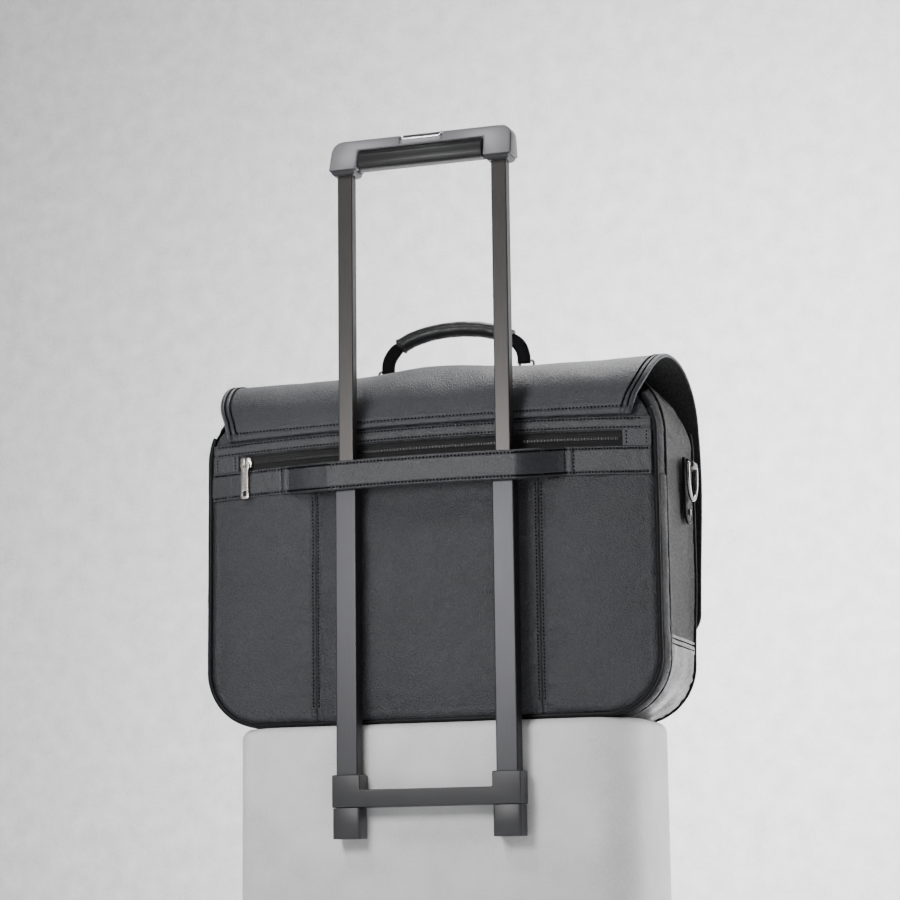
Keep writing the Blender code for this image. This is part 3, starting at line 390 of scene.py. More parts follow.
# black lining cloth; its darkness is partly painted shade, for the shadow in the gap between the gussets'
# tops and the flap
LINING_AND_SHADE = cloth("lining_cloth_and_painted_shade", (0.012, 0.012, 0.013), 0.7 * MM, 0.95, 0.00012)
FLAP_BACK = leather("flap_backing", (0.018, 0.018, 0.019), 1.6 * MM, 0.50, 0.0003, wear=2.2, specular=0.25)
SCRATCHES = (30, 30, 30)
LONG_SCRATCHES = (70, 70, 1.2)  # along z
BOARD = moulded("stiffening_board", (0.035, 0.034, 0.032), 0.85, 0.8 * MM, 0.00006)
TAPE = cloth("zip_tape_cloth", (0.006, 0.006, 0.0065), 0.55 * MM, 0.8, 0.00020)
TEETH = moulded("zip_teeth_nylon", (0.007, 0.007, 0.0075), 0.42, 0.6 * MM, 0.00002)
NICKEL = metal("nickel_plate", (0.66, 0.62, 0.58), 0.20, SCRATCHES, 0.00002)
GUNMETAL = metal("dark_nickel", (0.10, 0.10, 0.10), 0.28, SCRATCHES, 0.00002)
RING_METAL = metal("ring_nickel", (0.34, 0.33, 0.32), 0.16, SCRATCHES, 0.00002)
CHROME = metal("bright_chrome", (0.86, 0.86, 0.88), 0.06, SCRATCHES, 0.000004, spread=0.05)
STEEL = metal("plain_steel", (0.50, 0.50, 0.51), 0.32, (60, 60, 4), 0.00001)
TUBE = metal("anodised_tube", (0.070, 0.066, 0.063), 0.36, LONG_SCRATCHES, 0.000006, 0.75, 0.08)
OUTER_TUBE = metal("satin_tube", (0.058, 0.058, 0.062), 0.40, LONG_SCRATCHES, 0.000006, 0.75, 0.08)
# painted shade: the near-black finish of the tubes' left and right faces stands in for shade; the real tubes
# have one finish all round
SHADED_TUBE_SIDE = metal("tube_side_painted_shade", (0.012, 0.012, 0.012), 0.42, LONG_SCRATCHES, 0.000006, 0.4, 0.08)
COLLAR = moulded("dark_moulded_plastic", (0.022, 0.022, 0.024), 0.42, 0.45 * MM, 0.00004)
GRIP = moulded("silver_satin_plastic", (0.160, 0.159, 0.172), 0.36, 0.30 * MM, 0.000015, coat=0.15)
GRIP_CAP = moulded("dark_satin_plastic", (0.040, 0.040, 0.042), 0.36, 0.30 * MM, 0.000015)
RUBBER = moulded("black_soft_rubber", (0.009, 0.009, 0.0095), 0.42, 0.6 * MM, 0.00006)
PLINTH = moulded("plinth_paint", (0.60, 0.60, 0.60), 0.5, 2.0 * MM, 0.00002)
FLOOR = moulded("floor_paint", (0.72, 0.72, 0.73), 0.75, 6.0 * MM, 0.00002)


# ---------------------------------------------------------------- mesh builders
def mesh_object(name, points, faces, looks, indices=None, sharp=None):
    mesh = bpy.data.meshes.new(name)
    mesh.from_pydata(np.asarray(points, float).tolist(), [], faces)
    for look in looks if isinstance(looks, (list, tuple)) else [looks]:
        mesh.materials.append(look)
    if indices is not None:
        mesh.polygons.foreach_set("material_index", indices)
    mesh.shade_smooth()
    if sharp:
        mesh.set_sharp_from_angle(angle=math.radians(sharp))
    made = bpy.data.objects.new(name, mesh)
    bpy.context.scene.collection.objects.link(made)
    return made


def placed(obj, body, slot, *nodes):
    """Puts a piece on its body and hides the CAD nodes that it stands for; slot is not used."""
    if body:
        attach(obj, body)
    if nodes:
        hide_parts(*nodes)
    return obj


def grid_quads(index):
    """Faces between neighbouring rows and columns of a grid of point numbers."""
    corners = [index[:-1, :-1], index[:-1, 1:], index[1:, 1:], index[1:, :-1]]
    return np.stack(corners, -1).reshape(-1, 4)


def ring_faces(rows, around, base=0):
    """Faces that join rows of points one to the next, where each row is a closed ring."""
    faces = []
    for row in range(rows - 1):
        for k in range(around):
            a, b = base + row * around + k, base + row * around + (k + 1) % around
            faces.append([a, b, b + around, a + around])
    return faces


def rim_indices(rows, columns):
    """The (row, column) pairs round the border of a grid, and for each the pair one step inside."""
    rim = [(0, k) for k in range(columns - 1)]
    rim += [(i, columns - 1) for i in range(rows - 1)]
    rim += [(rows - 1, k) for k in range(columns - 1, 0, -1)]
    rim += [(i, 0) for i in range(rows - 1, 0, -1)]
    inside = [(min(max(i, 1), rows - 2), min(max(k, 1), columns - 2)) for i, k in rim]
    return rim, inside


def slab(name, outer, inner, looks, bulge=0.8):
    """A closed sheet between two grids of points, outer and inner faces, with a rounded rim."""
    rows, columns = outer.shape[:2]
    size = rows * columns
    index = np.arange(size).reshape(rows, columns)
    quads = grid_quads(index)
    rim, inside = rim_indices(rows, columns)
    ri, rk = np.array(rim).T
    si, sk = np.array(inside).T
    top, bottom = outer[ri, rk], inner[ri, rk]
    out = unit((top - outer[si, sk]) + (bottom - inner[si, sk]))
    centre, half = (top + bottom) / 2, (top - bottom) / 2
    reach = np.linalg.norm(half, axis=1, keepdims=True) * bulge
    turns = np.radians((45, 90, 135))
    loops = [centre + half * math.cos(t) + out * reach * math.sin(t) for t in turns]
    points = np.concatenate([outer.reshape(-1, 3), inner.reshape(-1, 3), *loops])
    count = len(rim)
    loop_points = [2 * size + i * count + np.arange(count) for i in range(3)]
    chain = [index[ri, rk], *loop_points, size + index[ri, rk]]
    faces = quads[:, ::-1].tolist() + (quads + size).tolist()
    for low, high in zip(chain, chain[1:]):
        nl, nh = np.roll(low, -1), np.roll(high, -1)
        faces += np.stack([low, nl, nh, high], -1).tolist()
    shades = None
    if isinstance(looks, (list, tuple)):
        shades = [0] * len(quads) + [1] * len(quads) + [0] * (len(faces) - 2 * len(quads))
    return mesh_object(name, points, faces, looks, shades)


def sweep(name, line, section, looks, closed=False, up=(0, 0, 1)):
    """A tube along a line. section gives offsets to the side and up, for all its points or for each."""
    line = np.asarray(line, float)
    section = np.asarray(section, float)
    if section.ndim == 2:
        section = np.broadcast_to(section, (len(line), *section.shape))
    if closed:
        along = unit(np.roll(line, -1, 0) - np.roll(line, 1, 0))
    else:
        along = unit(np.gradient(line, axis=0))
    side = unit(np.cross(along, np.asarray(up, float)))
    over = np.cross(side, along)
    points = line[:, None] + side[:, None] * section[..., :1] + over[:, None] * section[..., 1:]
    n, m = points.shape[:2]
    index = np.arange(n * m).reshape(n, m)
    if closed:
        index = np.concatenate([index, index[:1]])
    a, b = index[:-1], index[1:]
    faces = np.stack([a, np.roll(a, -1, 1), np.roll(b, -1, 1), b], -1).reshape(-1, 4).tolist()
    points = points.reshape(-1, 3)
    if not closed:
        for at, ring in ((0, index[0][::-1]), (n - 1, index[-1])):
            points = np.concatenate([points, line[at : at + 1]])
            middle = len(points) - 1
            faces += [[int(ring[k]), int(ring[(k + 1) % m]), middle] for k in range(m)]
    return mesh_object(name, points, faces, looks)


def circle(radius, sides=12):
    t = np.arange(sides) * 2 * math.pi / sides
    return np.stack([np.cos(t), np.sin(t)], -1) * radius


def rounded(half_a, half_b, radius, steps=4):
    """A rectangle with rounded corners, as section points."""
    points = []
    for side_a, side_b, start in ((1, 1, 0), (-1, 1, 90), (-1, -1, 180), (1, -1, 270)):
        a, b = side_a * (half_a - radius), side_b * (half_b - radius)
        for k in range(steps + 1):
            t = math.radians(start + 90 * k / steps)
            points.append((a + radius * math.cos(t), b + radius * math.sin(t)))
    return np.array(points)


def resample(line, step, closed=False):
    """The same line with points an even step apart."""
    line = np.asarray(line, float)
    if closed:
        line = np.concatenate([line, line[:1]])
    lengths = travelled(*line.T)
    count = max(2, round(lengths[-1] / step) + 1)
    at = np.linspace(0, lengths[-1], count)
    made = np.stack([np.interp(at, lengths, line[:, k]) for k in range(line.shape[1])], -1)
    return made[:-1] if closed else made


def curved(points, step):
    """A smooth curve through a few points (Catmull-Rom), with points a step apart."""
    points = np.asarray(points, float)
    padded = np.concatenate([2 * points[:1] - points[1:2], points, 2 * points[-1:] - points[-2:-1]])
    made = []
    for i in range(len(points) - 1):
        p = padded[i : i + 4]
        for t in np.linspace(0, 1, 24, endpoint=False):
            made.append(0.5 * (2 * p[1] + (p[2] - p[0]) * t + (2 * p[0] - 5 * p[1] + 4 * p[2] - p[3]) * t**2
                               + (3 * p[1] - p[0] - 3 * p[2] + p[3]) * t**3))  # fmt: skip
    made.append(points[-1])
    return resample(made, step)


def facing(x, y, z, normal):
    """A run of stitches on leather that faces one way."""
    spots = xyz(x, y, z)
    return spots, np.broadcast_to(np.array(normal, float), spots.shape)


def standing(surface, u, v, lift):
    """A run of stitches on a curved piece, whose points surface(u, v, lift) gives."""
    spots = surface(u, v, lift)
    return spots, unit(surface(u, v, lift + 1 * MM) - spots)


def stitches(name, runs, pitch=STITCH, length=2.0 * MM, radius=0.62 * MM, sides=6):
    """Rows of thread stitches. Each run is points on the leather and the normals there."""
    # along a stitch: place as a share of half its length, then thickness and height as shares of its radius
    stations = [(-1, 0.25, -0.8), (-0.72, 0.85, -0.1), (0, 1.0, 0.45), (0.72, 0.85, -0.1), (1, 0.25, -0.8)]
    turns = circle(1, sides)
    points, faces = [], []
    for spots, normals in runs:
        both = resample(np.concatenate([spots, normals], 1), pitch / 4)
        spots, normals = both[:, :3], unit(both[:, 3:])
        along = unit(np.gradient(spots, axis=0))
        for at in range(2, len(spots) - 2, 4):
            t, up = along[at], normals[at]
            side = np.cross(t, up)
            base = len(points)
            for s, wide, lift in stations:
                middle = spots[at] + t * s * length / 2 + up * lift * radius
                for c, d in turns:
                    points.append(middle + (side * c + up * d) * radius * wide)
            faces += ring_faces(len(stations), sides, base)
            last = base + (len(stations) - 1) * sides
            faces.append([base + k for k in reversed(range(sides))])
            faces.append([last + k for k in range(sides)])
    return mesh_object(name, np.array(points), faces, THREAD)


def sewn(name, runs, *sizes):
    """Stitches that stay with the case."""
    return placed(stitches(name, runs, *sizes), "case", "zip_tape")


def settle(points, pinned, pull, slack, frames=16):
    """How far each point of a grid of leather moves as cloth, with some pinned, when pull drapes it."""
    index = np.arange(pinned.size).reshape(pinned.shape)
    sheet = mesh_object("settling_sheet", points.reshape(-1, 3), grid_quads(index).tolist(), GRAINED)
    held = sheet.vertex_groups.new(name="held")
    held.add(np.flatnonzero(pinned.ravel()).tolist(), 1.0, "REPLACE")
    change = sheet.modifiers.new("settle", "CLOTH")
    leathery = {"quality": 5, "mass": 0.5, "tension_stiffness": 30, "compression_stiffness": 30,
                "shear_stiffness": 12, "bending_stiffness": 3.0}  # fmt: skip
    for key, value in leathery.items():
        setattr(change.settings, key, value)
    change.settings.vertex_group_mass = "held"
    change.settings.shrink_min = -slack
    change.collision_settings.use_collision = False
    change.point_cache.frame_start = 1
    change.point_cache.frame_end = frames
    scene = bpy.context.scene
    before = tuple(scene.gravity)
    scene.gravity = pull
    for number in range(1, frames + 1):
        scene.frame_set(number)
    result = sheet.evaluated_get(bpy.context.evaluated_depsgraph_get()).to_mesh()
    flat = np.zeros(len(result.vertices) * 3)
    result.vertices.foreach_get("co", flat)
    scene.gravity = before
    scene.frame_set(1)
    bpy.data.objects.remove(sheet)
    return flat.reshape(points.shape) - points


def sampled(grid, u, v):
    """Values of a coarse grid at shares u across and v up, both from 0 to 1."""
    rows, columns = grid.shape[:2]
    x, y = np.clip(u, 0, 1) * (columns - 1), np.clip(v, 0, 1) * (rows - 1)
    x0, y0 = np.minimum(x.astype(int), columns - 2), np.minimum(y.astype(int), rows - 2)
    fx, fy = x - x0, y - y0
    low = grid[y0, x0] * (1 - fx) + grid[y0, x0 + 1] * fx
    high = grid[y0 + 1, x0] * (1 - fx) + grid[y0 + 1, x0 + 1] * fx
    return low * (1 - fy) + high * fy


def smooth_copy(node_name, body, slot, looks, bevel=0.0, segments=2, sharp=35):
    """A finished copy of a hard CAD part: welded, with small rounded edges."""
    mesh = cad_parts[node_name].data.copy()
    mesh.materials.clear()
    for look in looks if isinstance(looks, (list, tuple)) else [looks]:
        mesh.materials.append(look)
    made = bpy.data.objects.new(node_name + "_piece", mesh)
    bpy.context.scene.collection.objects.link(made)
    for attribute in [a.name for a in mesh.attributes if a.name == "custom_normal"]:
        mesh.attributes.remove(mesh.attributes[attribute])
    weld = made.modifiers.new("weld", "WELD")
    weld.merge_threshold = 0.00001
    if bevel:
        rounding = made.modifiers.new("rounding", "BEVEL")
        rounding.width = bevel
        rounding.segments = segments
        rounding.limit_method = "ANGLE"
        rounding.angle_limit = math.radians(32)
    settled = bpy.data.meshes.new_from_object(made.evaluated_get(bpy.context.evaluated_depsgraph_get()))
    made.modifiers.clear()
    made.data = settled
    settled.shade_smooth()
    settled.set_sharp_from_angle(angle=math.radians(sharp))
    return placed(made, body, slot, node_name)


# ---------------------------------------------------------------- camera, floor and light
FLOOR_Z = -0.2
BACKDROP_Y = 3.0
PLINTH_TOP_Z = -1.5 * MM
PLINTH_Y = (-69.9 * MM, 78 * MM)
PLINTH_HALF_W = 186 * MM
PLINTH_CORNER = 45 * MM
PLINTH_LIP = 9 * MM


def plinth():
    """A block with rounded corners and a rounded upper edge, which the case stands on."""
    middle, half_d = sum(PLINTH_Y) / 2, (PLINTH_Y[1] - PLINTH_Y[0]) / 2
    levels = [(FLOOR_Z, 0.0)]
    for t in np.linspace(0, math.pi / 2, 7):
        rise, tuck = PLINTH_LIP * math.sin(t), PLINTH_LIP * (1 - math.cos(t))
        levels.append((PLINTH_TOP_Z - PLINTH_LIP + rise, tuck))
    rings = []
    for z, tuck in levels:
        ring = rounded(PLINTH_HALF_W - tuck, half_d - tuck, PLINTH_CORNER - tuck, 8)
        rings += [(x, middle + y, z) for x, y in ring]
    around = len(rings) // len(levels)
    faces = ring_faces(len(levels), around)
    faces.append([len(rings) - around + k for k in range(around)])
    faces.append(list(reversed(range(around))))
    return mesh_object("studio_plinth", rings, faces, PLINTH, sharp=40)


def studio():
    data = bpy.data.cameras.new("main_view")
    data.lens = 100.7
    data.sensor_width = 36
    camera = bpy.data.objects.new("main_view", data)
    bpy.context.scene.collection.objects.link(camera)
    camera.location = (0.709, -2.122, -0.143)
    camera.rotation_euler = (math.radians(99.89), math.radians(0.69), math.radians(18.56))
    bpy.context.scene.camera = camera

    square = [(-1, -1), (1, -1), (1, 1), (-1, 1)]
    floor = mesh_object("studio_floor", [(9 * x, 9 * y, FLOOR_Z) for x, y in square], [[0, 1, 2, 3]], FLOOR)
    corners = [(5 * x, BACKDROP_Y, FLOOR_Z if z < 0 else 5) for x, z in square]
    wall = mesh_object("studio_backdrop", corners, [[0, 1, 2, 3]], FLOOR)
    plinth()

    world = bpy.data.worlds.new("studio")
    world.use_nodes = True
    background = world.node_tree.nodes["Background"].inputs
    background["Color"].default_value = (0.86, 0.865, 0.88, 1)
    background["Strength"].default_value = 0.24
    bpy.context.scene.world = world
    # name, place, what it points at, width and height, and power in watts
    softboxes = (
        ("top_behind", (0.2, 0.9, 1.9), (0, 0.02, 0.25), (1.6, 0.9), 46),
        ("right_side", (1.5, 0.85, 0.35), (0.1, 0, 0.12), (0.6, 1.3), 30),
        ("near_key", (-0.13, -0.72, 0.22), (-0.04, -0.06, 0.14), (0.2, 0.2), 3.8),
        ("high_key", (-0.5, -1.3, 1.7), (0, -0.06, 0.2), (0.4, 0.4), 14),
        ("left_fill", (-2.2, 0.4, 0.9), (0, 0, 0.15), (1.2, 1.2), 14),
        ("camera_fill", (0.9, -2.6, 1.3), (0, 0, 0.2), (1.2, 0.8), 3),
        ("backdrop_glow", (0.1, 1.1, 0.9), (0, BACKDROP_Y, 0.25), (1.6, 0.8), 125),
    )
    for name, spot, aim, size, power in softboxes:
        lamp = bpy.data.lights.new(name, "AREA")
        lamp.shape = "RECTANGLE"
        lamp.size, lamp.size_y = size
        lamp.energy = power
        holder = bpy.data.objects.new(name, lamp)
        bpy.context.scene.collection.objects.link(holder)
        holder.location = spot
        holder.rotation_euler = (Vector(aim) - Vector(spot)).to_track_quat("-Z", "Y").to_euler()


# ---------------------------------------------------------------- the back of the laptop section
SEAM_ROW = 2.6 * MM  # from a seam's middle to each of its two rows of stitches
SEAM_FOOT_Z = 14 * MM
REARWARD = (0, -1, 0)


def holes(along):
    """1 at the needle holes of a row of stitches and 0 between them, from the distance along it."""
    return 0.5 - 0.5 * np.cos(2 * math.pi * along / STITCH)


def back_relief(x, z):
    """How far the back panel's leather lies behind its smooth shape, in metres (+ is inwards)."""
    dent = np.zeros(np.broadcast(x, z).shape)
    for side, seed in ((-1, 11), (1, 12)):
        d = x - side * SEAM_X
        beside = np.abs(d)
        # the seam's groove, its stitch holes, the turned edges that stand up round it, and the puckers
        dent += 1.9 * MM * hump(d, 0, 0.8 * MM)
        dent += (1.5 * holes(z - SEAM_FOOT_Z) - 0.1) * MM * hump(beside, SEAM_ROW, 0.9 * MM)
        dent -= 1.7 * MM * (1 - smooth(4.1 * MM, 5.4 * MM, beside))
        gather = waves(seed, 11 * MM)(0.2 * d, z)
        dent += 0.33 * MM * gather * hump(beside, 7 * MM, 7 * MM)
    # the rounding and puckers along the piping, then the soft hills and hollows all over
    border = edge_distance(x, z, PANEL_INSET)
    dent += 0.9 * MM * np.exp(-((border / (1.8 * MM)) ** 2))
    dent -= 0.5 * MM * hump(border, 5 * MM, 2.6 * MM)
    gather = waves(13, 13 * MM)(x, z)
    dent += 0.28 * MM * gather * hump(border, 6 * MM, 7 * MM)
    dent += 0.55 * MM * waves(14, 62 * MM)(x, z) * smooth(0, 30 * MM, border)
    dent += 0.20 * MM * waves(15, 24 * MM)(x, z) * smooth(0, 20 * MM, border)
    return dent


def back_drift(low, high):
    """How far the back's leather sinks or swells between its seams, on a coarse grid."""
    z = np.linspace(low, high, 46)[:, None]
    x = np.linspace(-1, 1, 83)[None] * width_at(z, PANEL_INSET)
    z = np.broadcast_to(z, x.shape)
    held = edge_distance(x, z, PANEL_INSET) < 3 * MM
    held |= (np.abs(np.abs(x) - SEAM_X) < 2.6 * MM) | (z > high - 3 * MM)
    held |= (np.abs(x) > STRAP_SEWN_X) & (np.abs(z - STRAP_Z) < STRAP_H / 2)
    moved = settle(xyz(x, back_y(x, z), z), held, (0, -2.2, -2.6), 0.0035)
    return np.clip(moved[..., 1], -3.2 * MM, 1.5 * MM)


def back_panels():
    low, high = PANEL_INSET + 0.2 * MM, ZIP_Z - 7.6 * MM
    drift = back_drift(low, high)
    t = np.linspace(0, 1, 220)[:, None]
    v = low + (high - low) * (0.85 * t + 0.15 * t**2)
    half = width_at(v, PANEL_INSET)
    gap = 0.15 * MM
    spans = (
        ("left", 80, -half, -SEAM_X - gap),
        ("centre", 150, gap - SEAM_X, SEAM_X - gap),
        ("right", 80, SEAM_X + gap, half),
    )
    for name, columns, start, stop in spans:
        x = start + (stop - start) * np.linspace(0, 1, columns)[None] + 0 * half
        z = v + arch(x) * smooth(100 * MM, 232 * MM, v)
        flat = back_y(x, z)
        y = flat + back_relief(x, z) + sampled(drift, (x / half + 1) / 2, (z - low) / (high - low))
        inner = flat + 2.4 * MM + 0.5 * np.maximum(0, y - flat)
        panel = slab(f"padded_back_{name}", xyz(x, y, z), xyz(x, inner, z), GRAINED)
        placed(panel, "case", "grained_leather", f"back_panel_{name}")
    runs = []
    z = np.arange(SEAM_FOOT_Z, 204 * MM, 1.5 * MM)
    for side in (-1, 1):
        for row in (-SEAM_ROW, SEAM_ROW):
            x = np.full(len(z), side * SEAM_X + row)
            beside = SEAM_FOOT_Z + np.round((z - SEAM_FOOT_Z) / STITCH) * STITCH
            y = back_y(x, z) + back_relief(x, beside) + 0.1 * MM
            y = y + sampled(drift, (x / width_at(z, PANEL_INSET) + 1) / 2, (z - low) / (high - low))
            runs.append(facing(x, y, z, REARWARD))
    sewn("back_seam_stitches", runs)


def strip_face(name, z_low, z_high, x_reach, lift, thick, relief, look, slot, nodes, columns, rows):
    """A strip across the back that follows the arch, with its own relief(x, share up)."""
    t = np.linspace(0, 1, rows)[:, None]
    x = x_reach * np.linspace(-1, 1, columns)[None]
    z = z_low + (z_high - z_low) * t + arch(x)
    y = back_y(x, z) - lift
    outer, inner = xyz(x, y + relief(x, t), z), xyz(x, y + thick, z)
    return placed(slab(name, outer, inner, look), "case", slot, *nodes)


def yoke_and_welt():
    """The plain leather above the zip and the sewn band along the zip's upper edge."""
    low = ZIP_Z + 7.5 * MM
    v = low + (YOKE_TOP_Z - low) * np.linspace(0, 1, 30)[:, None]
    half = width_at(v, PANEL_INSET)
    x = half * np.linspace(-1, 1, 190)[None]
    z = v + arch(x)
    y = back_y(x, z)
    dent = 0.5 * MM * waves(21, 55 * MM)(x, z) + 0.2 * MM * waves(22, 12 * MM)(x, z)
    dent += 0.4 * MM * hump(half - np.abs(x), 0, 1.6 * MM)
    yoke = slab("back_yoke_leather", xyz(x, y + dent, z), xyz(x, y + 2.0 * MM, z), GRAINED)
    placed(yoke, "case", "grained_leather", "back_yoke")

    foot, height = low + 0.8 * MM, 10.7 * MM
    rows = (1.6 * MM, 9.3 * MM)
    pucker = waves(23, 8 * MM)

    def relief(x, t):
        v = t * height
        dent = sum(0.6 * MM * hump(v, r, 0.75 * MM) for r in rows)
        dent = dent - 0.35 * MM * (hump(v, 0.4 * MM, 0.6 * MM) + hump(v, height - 0.4 * MM, 0.6 * MM))
        return dent + 0.12 * MM * pucker(x, v) - 0.35 * MM * hump(v, height / 2, 3 * MM)

    strip_face("zip_welt_leather", foot, foot + height, 202.5 * MM, 1.5 * MM, 1.2 * MM, relief,
               WELT_PAINTED_LIGHT, "grained_leather", ["zip_welt"], 230, 40)  # fmt: skip
    runs = []
    x = np.arange(-199 * MM, 199 * MM, 2 * MM)
    for row in rows:
        z = foot + row + arch(x)
        runs.append(facing(x, back_y(x, z) - 1.25 * MM, z, REARWARD))
    inner_row, outer_row = 181.5 * MM, 199 * MM  # the upright rows of stitches at the welt's ends
    patch_foot = ZIP_Z - 6.8 * MM
    for side, name in ((-1, "left"), (1, "right")):
        v = np.linspace(ZIP_Z - 5 * MM, low + 1.5 * MM, 10)
        for row in (inner_row, outer_row):
            z = v + arch(row)
            runs.append(facing(side * row, back_y(row, z) - 1.35 * MM, z, REARWARD))
        x = np.linspace(178.6 * MM, 203 * MM, 16)[None, ::side] * side
        z = patch_foot + (low + 1.0 * MM - patch_foot) * np.linspace(0, 1, 12)[:, None] + arch(x)
        y = back_y(x, z)
        outer = xyz(x, y - 1.5 * MM + 0.3 * MM * hump(np.abs(x), inner_row, 0.8 * MM), z)
        patch = slab(f"zip_end_patch_{name}", outer, xyz(x, y - 0.3 * MM, z), WELT_PAINTED_LIGHT)
        placed(patch, "case", "grained_leather")
    sewn("welt_stitches", runs, STITCH, 1.9 * MM, 0.56 * MM)


# ---------------------------------------------------------------- the trolley strap
def strap_rest(x):
    """1 where the strap lies on the back, 0 where it stands out round the two tubes."""
    start = np.where(x > 0, STRAP_FLAT_X, STRAP_FLAT_X - STRAP_OFFSET)
    t = np.clip((np.abs(x) - start) / (STRAP_SEWN_X - start), 0, 1)
    return 0.5 * t * t * (3 - 2 * t) + 0.5 * t


def strap_inner(x):
    """y of the strap's inner face."""
    flat = back_y(x, STRAP_Z + arch(x)) - 0.3 * MM
    return STRAP_BOW_Y + (flat - STRAP_BOW_Y) * strap_rest(x)


def strap_point(x, v, lift):
    """A point on the strap: v up from its middle line, lift out from its inner face."""
    step = 0.5 * MM
    slope = (strap_inner(x + step) - strap_inner(x - step)) / (2 * step)
    size = np.sqrt(1 + slope**2)
    sag = STRAP_SAG * (1 - strap_rest(x))
    return xyz(x + slope / size * lift, strap_inner(x) - lift / size, STRAP_Z + arch(x) + v - sag)


def trolley_strap():
    x = np.arange(-203 * MM, 203.1 * MM, 0.9 * MM)
    half, row = STRAP_H / 2, 10.2 * MM
    bars = (STRAP_SEWN_X + 0.5 * MM, STRAP_SEWN_X + 8.2 * MM)  # the two rows of stitches across it
    hem = np.linspace(-1, -0.68, 17)
    v = np.concatenate([hem, np.linspace(-0.62, 0.62, 15), -hem[::-1]]) * half  # closer together in the hem
    X, V = np.meshgrid(x, v, indexing="ij")
    thick = STRAP_T * np.sqrt(np.clip(1 - np.abs(V / half) ** 9, 0.02, 1))
    length = travelled(x, strap_inner(x))
    dent = (1.3 * holes(length - length[2])[:, None] - 0.15) * MM * hump(np.abs(V), row, 0.9 * MM)
    for at, height in ((12.0 * MM, 0.45 * MM), (8.3 * MM, 0.3 * MM)):
        dent -= height * hump(np.abs(V), at, 0.8 * MM)
    dent -= 0.40 * MM * (1 - (V / half) ** 2)
    dent += 0.10 * MM * waves(31, 9 * MM)(X, V) + 0.22 * MM * waves(32, 45 * MM)(X, V)
    for side in (-1, 1):
        for at in bars:
            dent += 0.9 * MM * hump(X, side * at, 0.9 * MM) * (np.abs(V) < half * 0.96)
        dent -= 0.5 * MM * hump(X, side * (STRAP_SEWN_X + 4.4 * MM), 2.6 * MM)
    outer, inner = strap_point(X, V, thick - dent), strap_point(X, V, 0)
    strap = slab("trolley_strap_leather", outer.transpose(1, 0, 2), inner.transpose(1, 0, 2), STRAP, 0.4)
    placed(strap, "case", "grained_leather", "trolley_strap")
    runs = []
    for side in (-1, 1):
        runs.append(standing(strap_point, x[2:-2], side * row, STRAP_T - 0.30 * MM))
        for at in bars:
            up = np.linspace(-9.6 * MM, 9.6 * MM, 12)
            runs.append(standing(strap_point, side * at + 0 * up, up, STRAP_T - 0.45 * MM))
    sewn("strap_stitches", runs, STITCH, 1.9 * MM, 0.66 * MM)


# ---------------------------------------------------------------- the zip
def zip_fastener():
    def weave(x, t):
        return 0.12 * MM * np.sin(t * 14.2 * 2 * math.pi / 1.9) - 0.9 * MM * hump(t, 0.5, 0.22)

    strip_face("zip_tape_cloth", ZIP_Z - 7.1 * MM, ZIP_Z + 7.1 * MM, ZIP_END_X, -0.9 * MM, 1.1 * MM, weave,
               TAPE, "zip_tape", ["zip_tape"], 120, 40)  # fmt: skip
    points, faces = [], []
    # a tooth's eight corners in millimetres, from its root in the tape to its rounded head
    shape = [(-0.62, -2.3, 0.1), (0.62, -2.3, 0.1), (0.62, 0.35, 0.1), (-0.62, 0.35, 0.1),
             (-0.4, -2.0, -1.0), (0.4, -2.0, -1.0), (0.4, 0.15, -1.15), (-0.4, 0.15, -1.15)]  # fmt: skip
    block = [[3, 2, 1, 0], [4, 5, 6, 7], [0, 1, 5, 4], [1, 2, 6, 5], [2, 3, 7, 6], [3, 0, 4, 7]]
    for number, x in enumerate(np.arange(-ZIP_END_X + 3.5 * MM, ZIP_END_X - 4.2 * MM, 1.5 * MM)):
        flip = 1 if number % 2 else -1
        z0 = ZIP_Z + arch(x)
        y0 = back_y(x, z0) + 0.25 * MM
        base = len(points)
        for a, b, c in shape:
            points.append((x + a * MM, y0 + c * MM, z0 + flip * (b + 0.9) * MM))
        faces += [[base + i for i in (q if flip > 0 else q[::-1])] for q in block]
    teeth = mesh_object("zip_teeth", points, faces, TEETH, sharp=30)
    placed(teeth, "case", "zip_tape", "zip_coil")
    smooth_copy("zip_slider", "slider", "nickel", NICKEL, 0.35 * MM, 3)
    smooth_copy("zip_pull", "pull_tab", "nickel", NICKEL, 0.2 * MM, 2)


# ---------------------------------------------------------------- piping and gussets
def piping():
    runs = {
        "piping_rear": (lambda z: BACK_Y - 0.2 * MM, 262 * MM, 0.7 * MM, 2.15 * MM, 41),
        "piping_middle": (lambda z: MID_Y, 284 * MM, 0.3 * MM, 2.0 * MM, 42),
        "piping_front": (lambda z: front_y(z) + 0.1 * MM, 255 * MM, 0.3 * MM, 1.95 * MM, 43),
    }
    for name, (y, top, inset, radius, seed) in runs.items():
        path = whole_outline(inset + radius * 0.15, top, 2.2 * MM)
        x, z = path[:, 0], path[:, 1]
        along = travelled(x, z)
        sway = waves(seed, 60 * MM)(along, 0)
        pucker = waves(seed + 10, 7 * MM)(along, 0)
        line = xyz(x, y(z) + 0.25 * MM * sway, z + (0 if name == "piping_rear" else crown(z)))
        t = np.arange(14) * 2 * math.pi / 14
        size = radius * (1 + 0.035 * pucker[:, None] * (0.6 + 0.4 * np.cos(t * 2)) + 0.03 * sway[:, None])
        section = np.stack([np.cos(t) * size, np.sin(t) * size], -1)
        tube = sweep(name + "_cord", line, section, TRIM, up=(0, 1, 0))
        placed(tube, "case", "trim_leather", name)


def crown(z):
    """How much higher the main section's corners stand than the laptop section's."""
    return CORNER_RISE * smooth(190 * MM, 285 * MM, z)


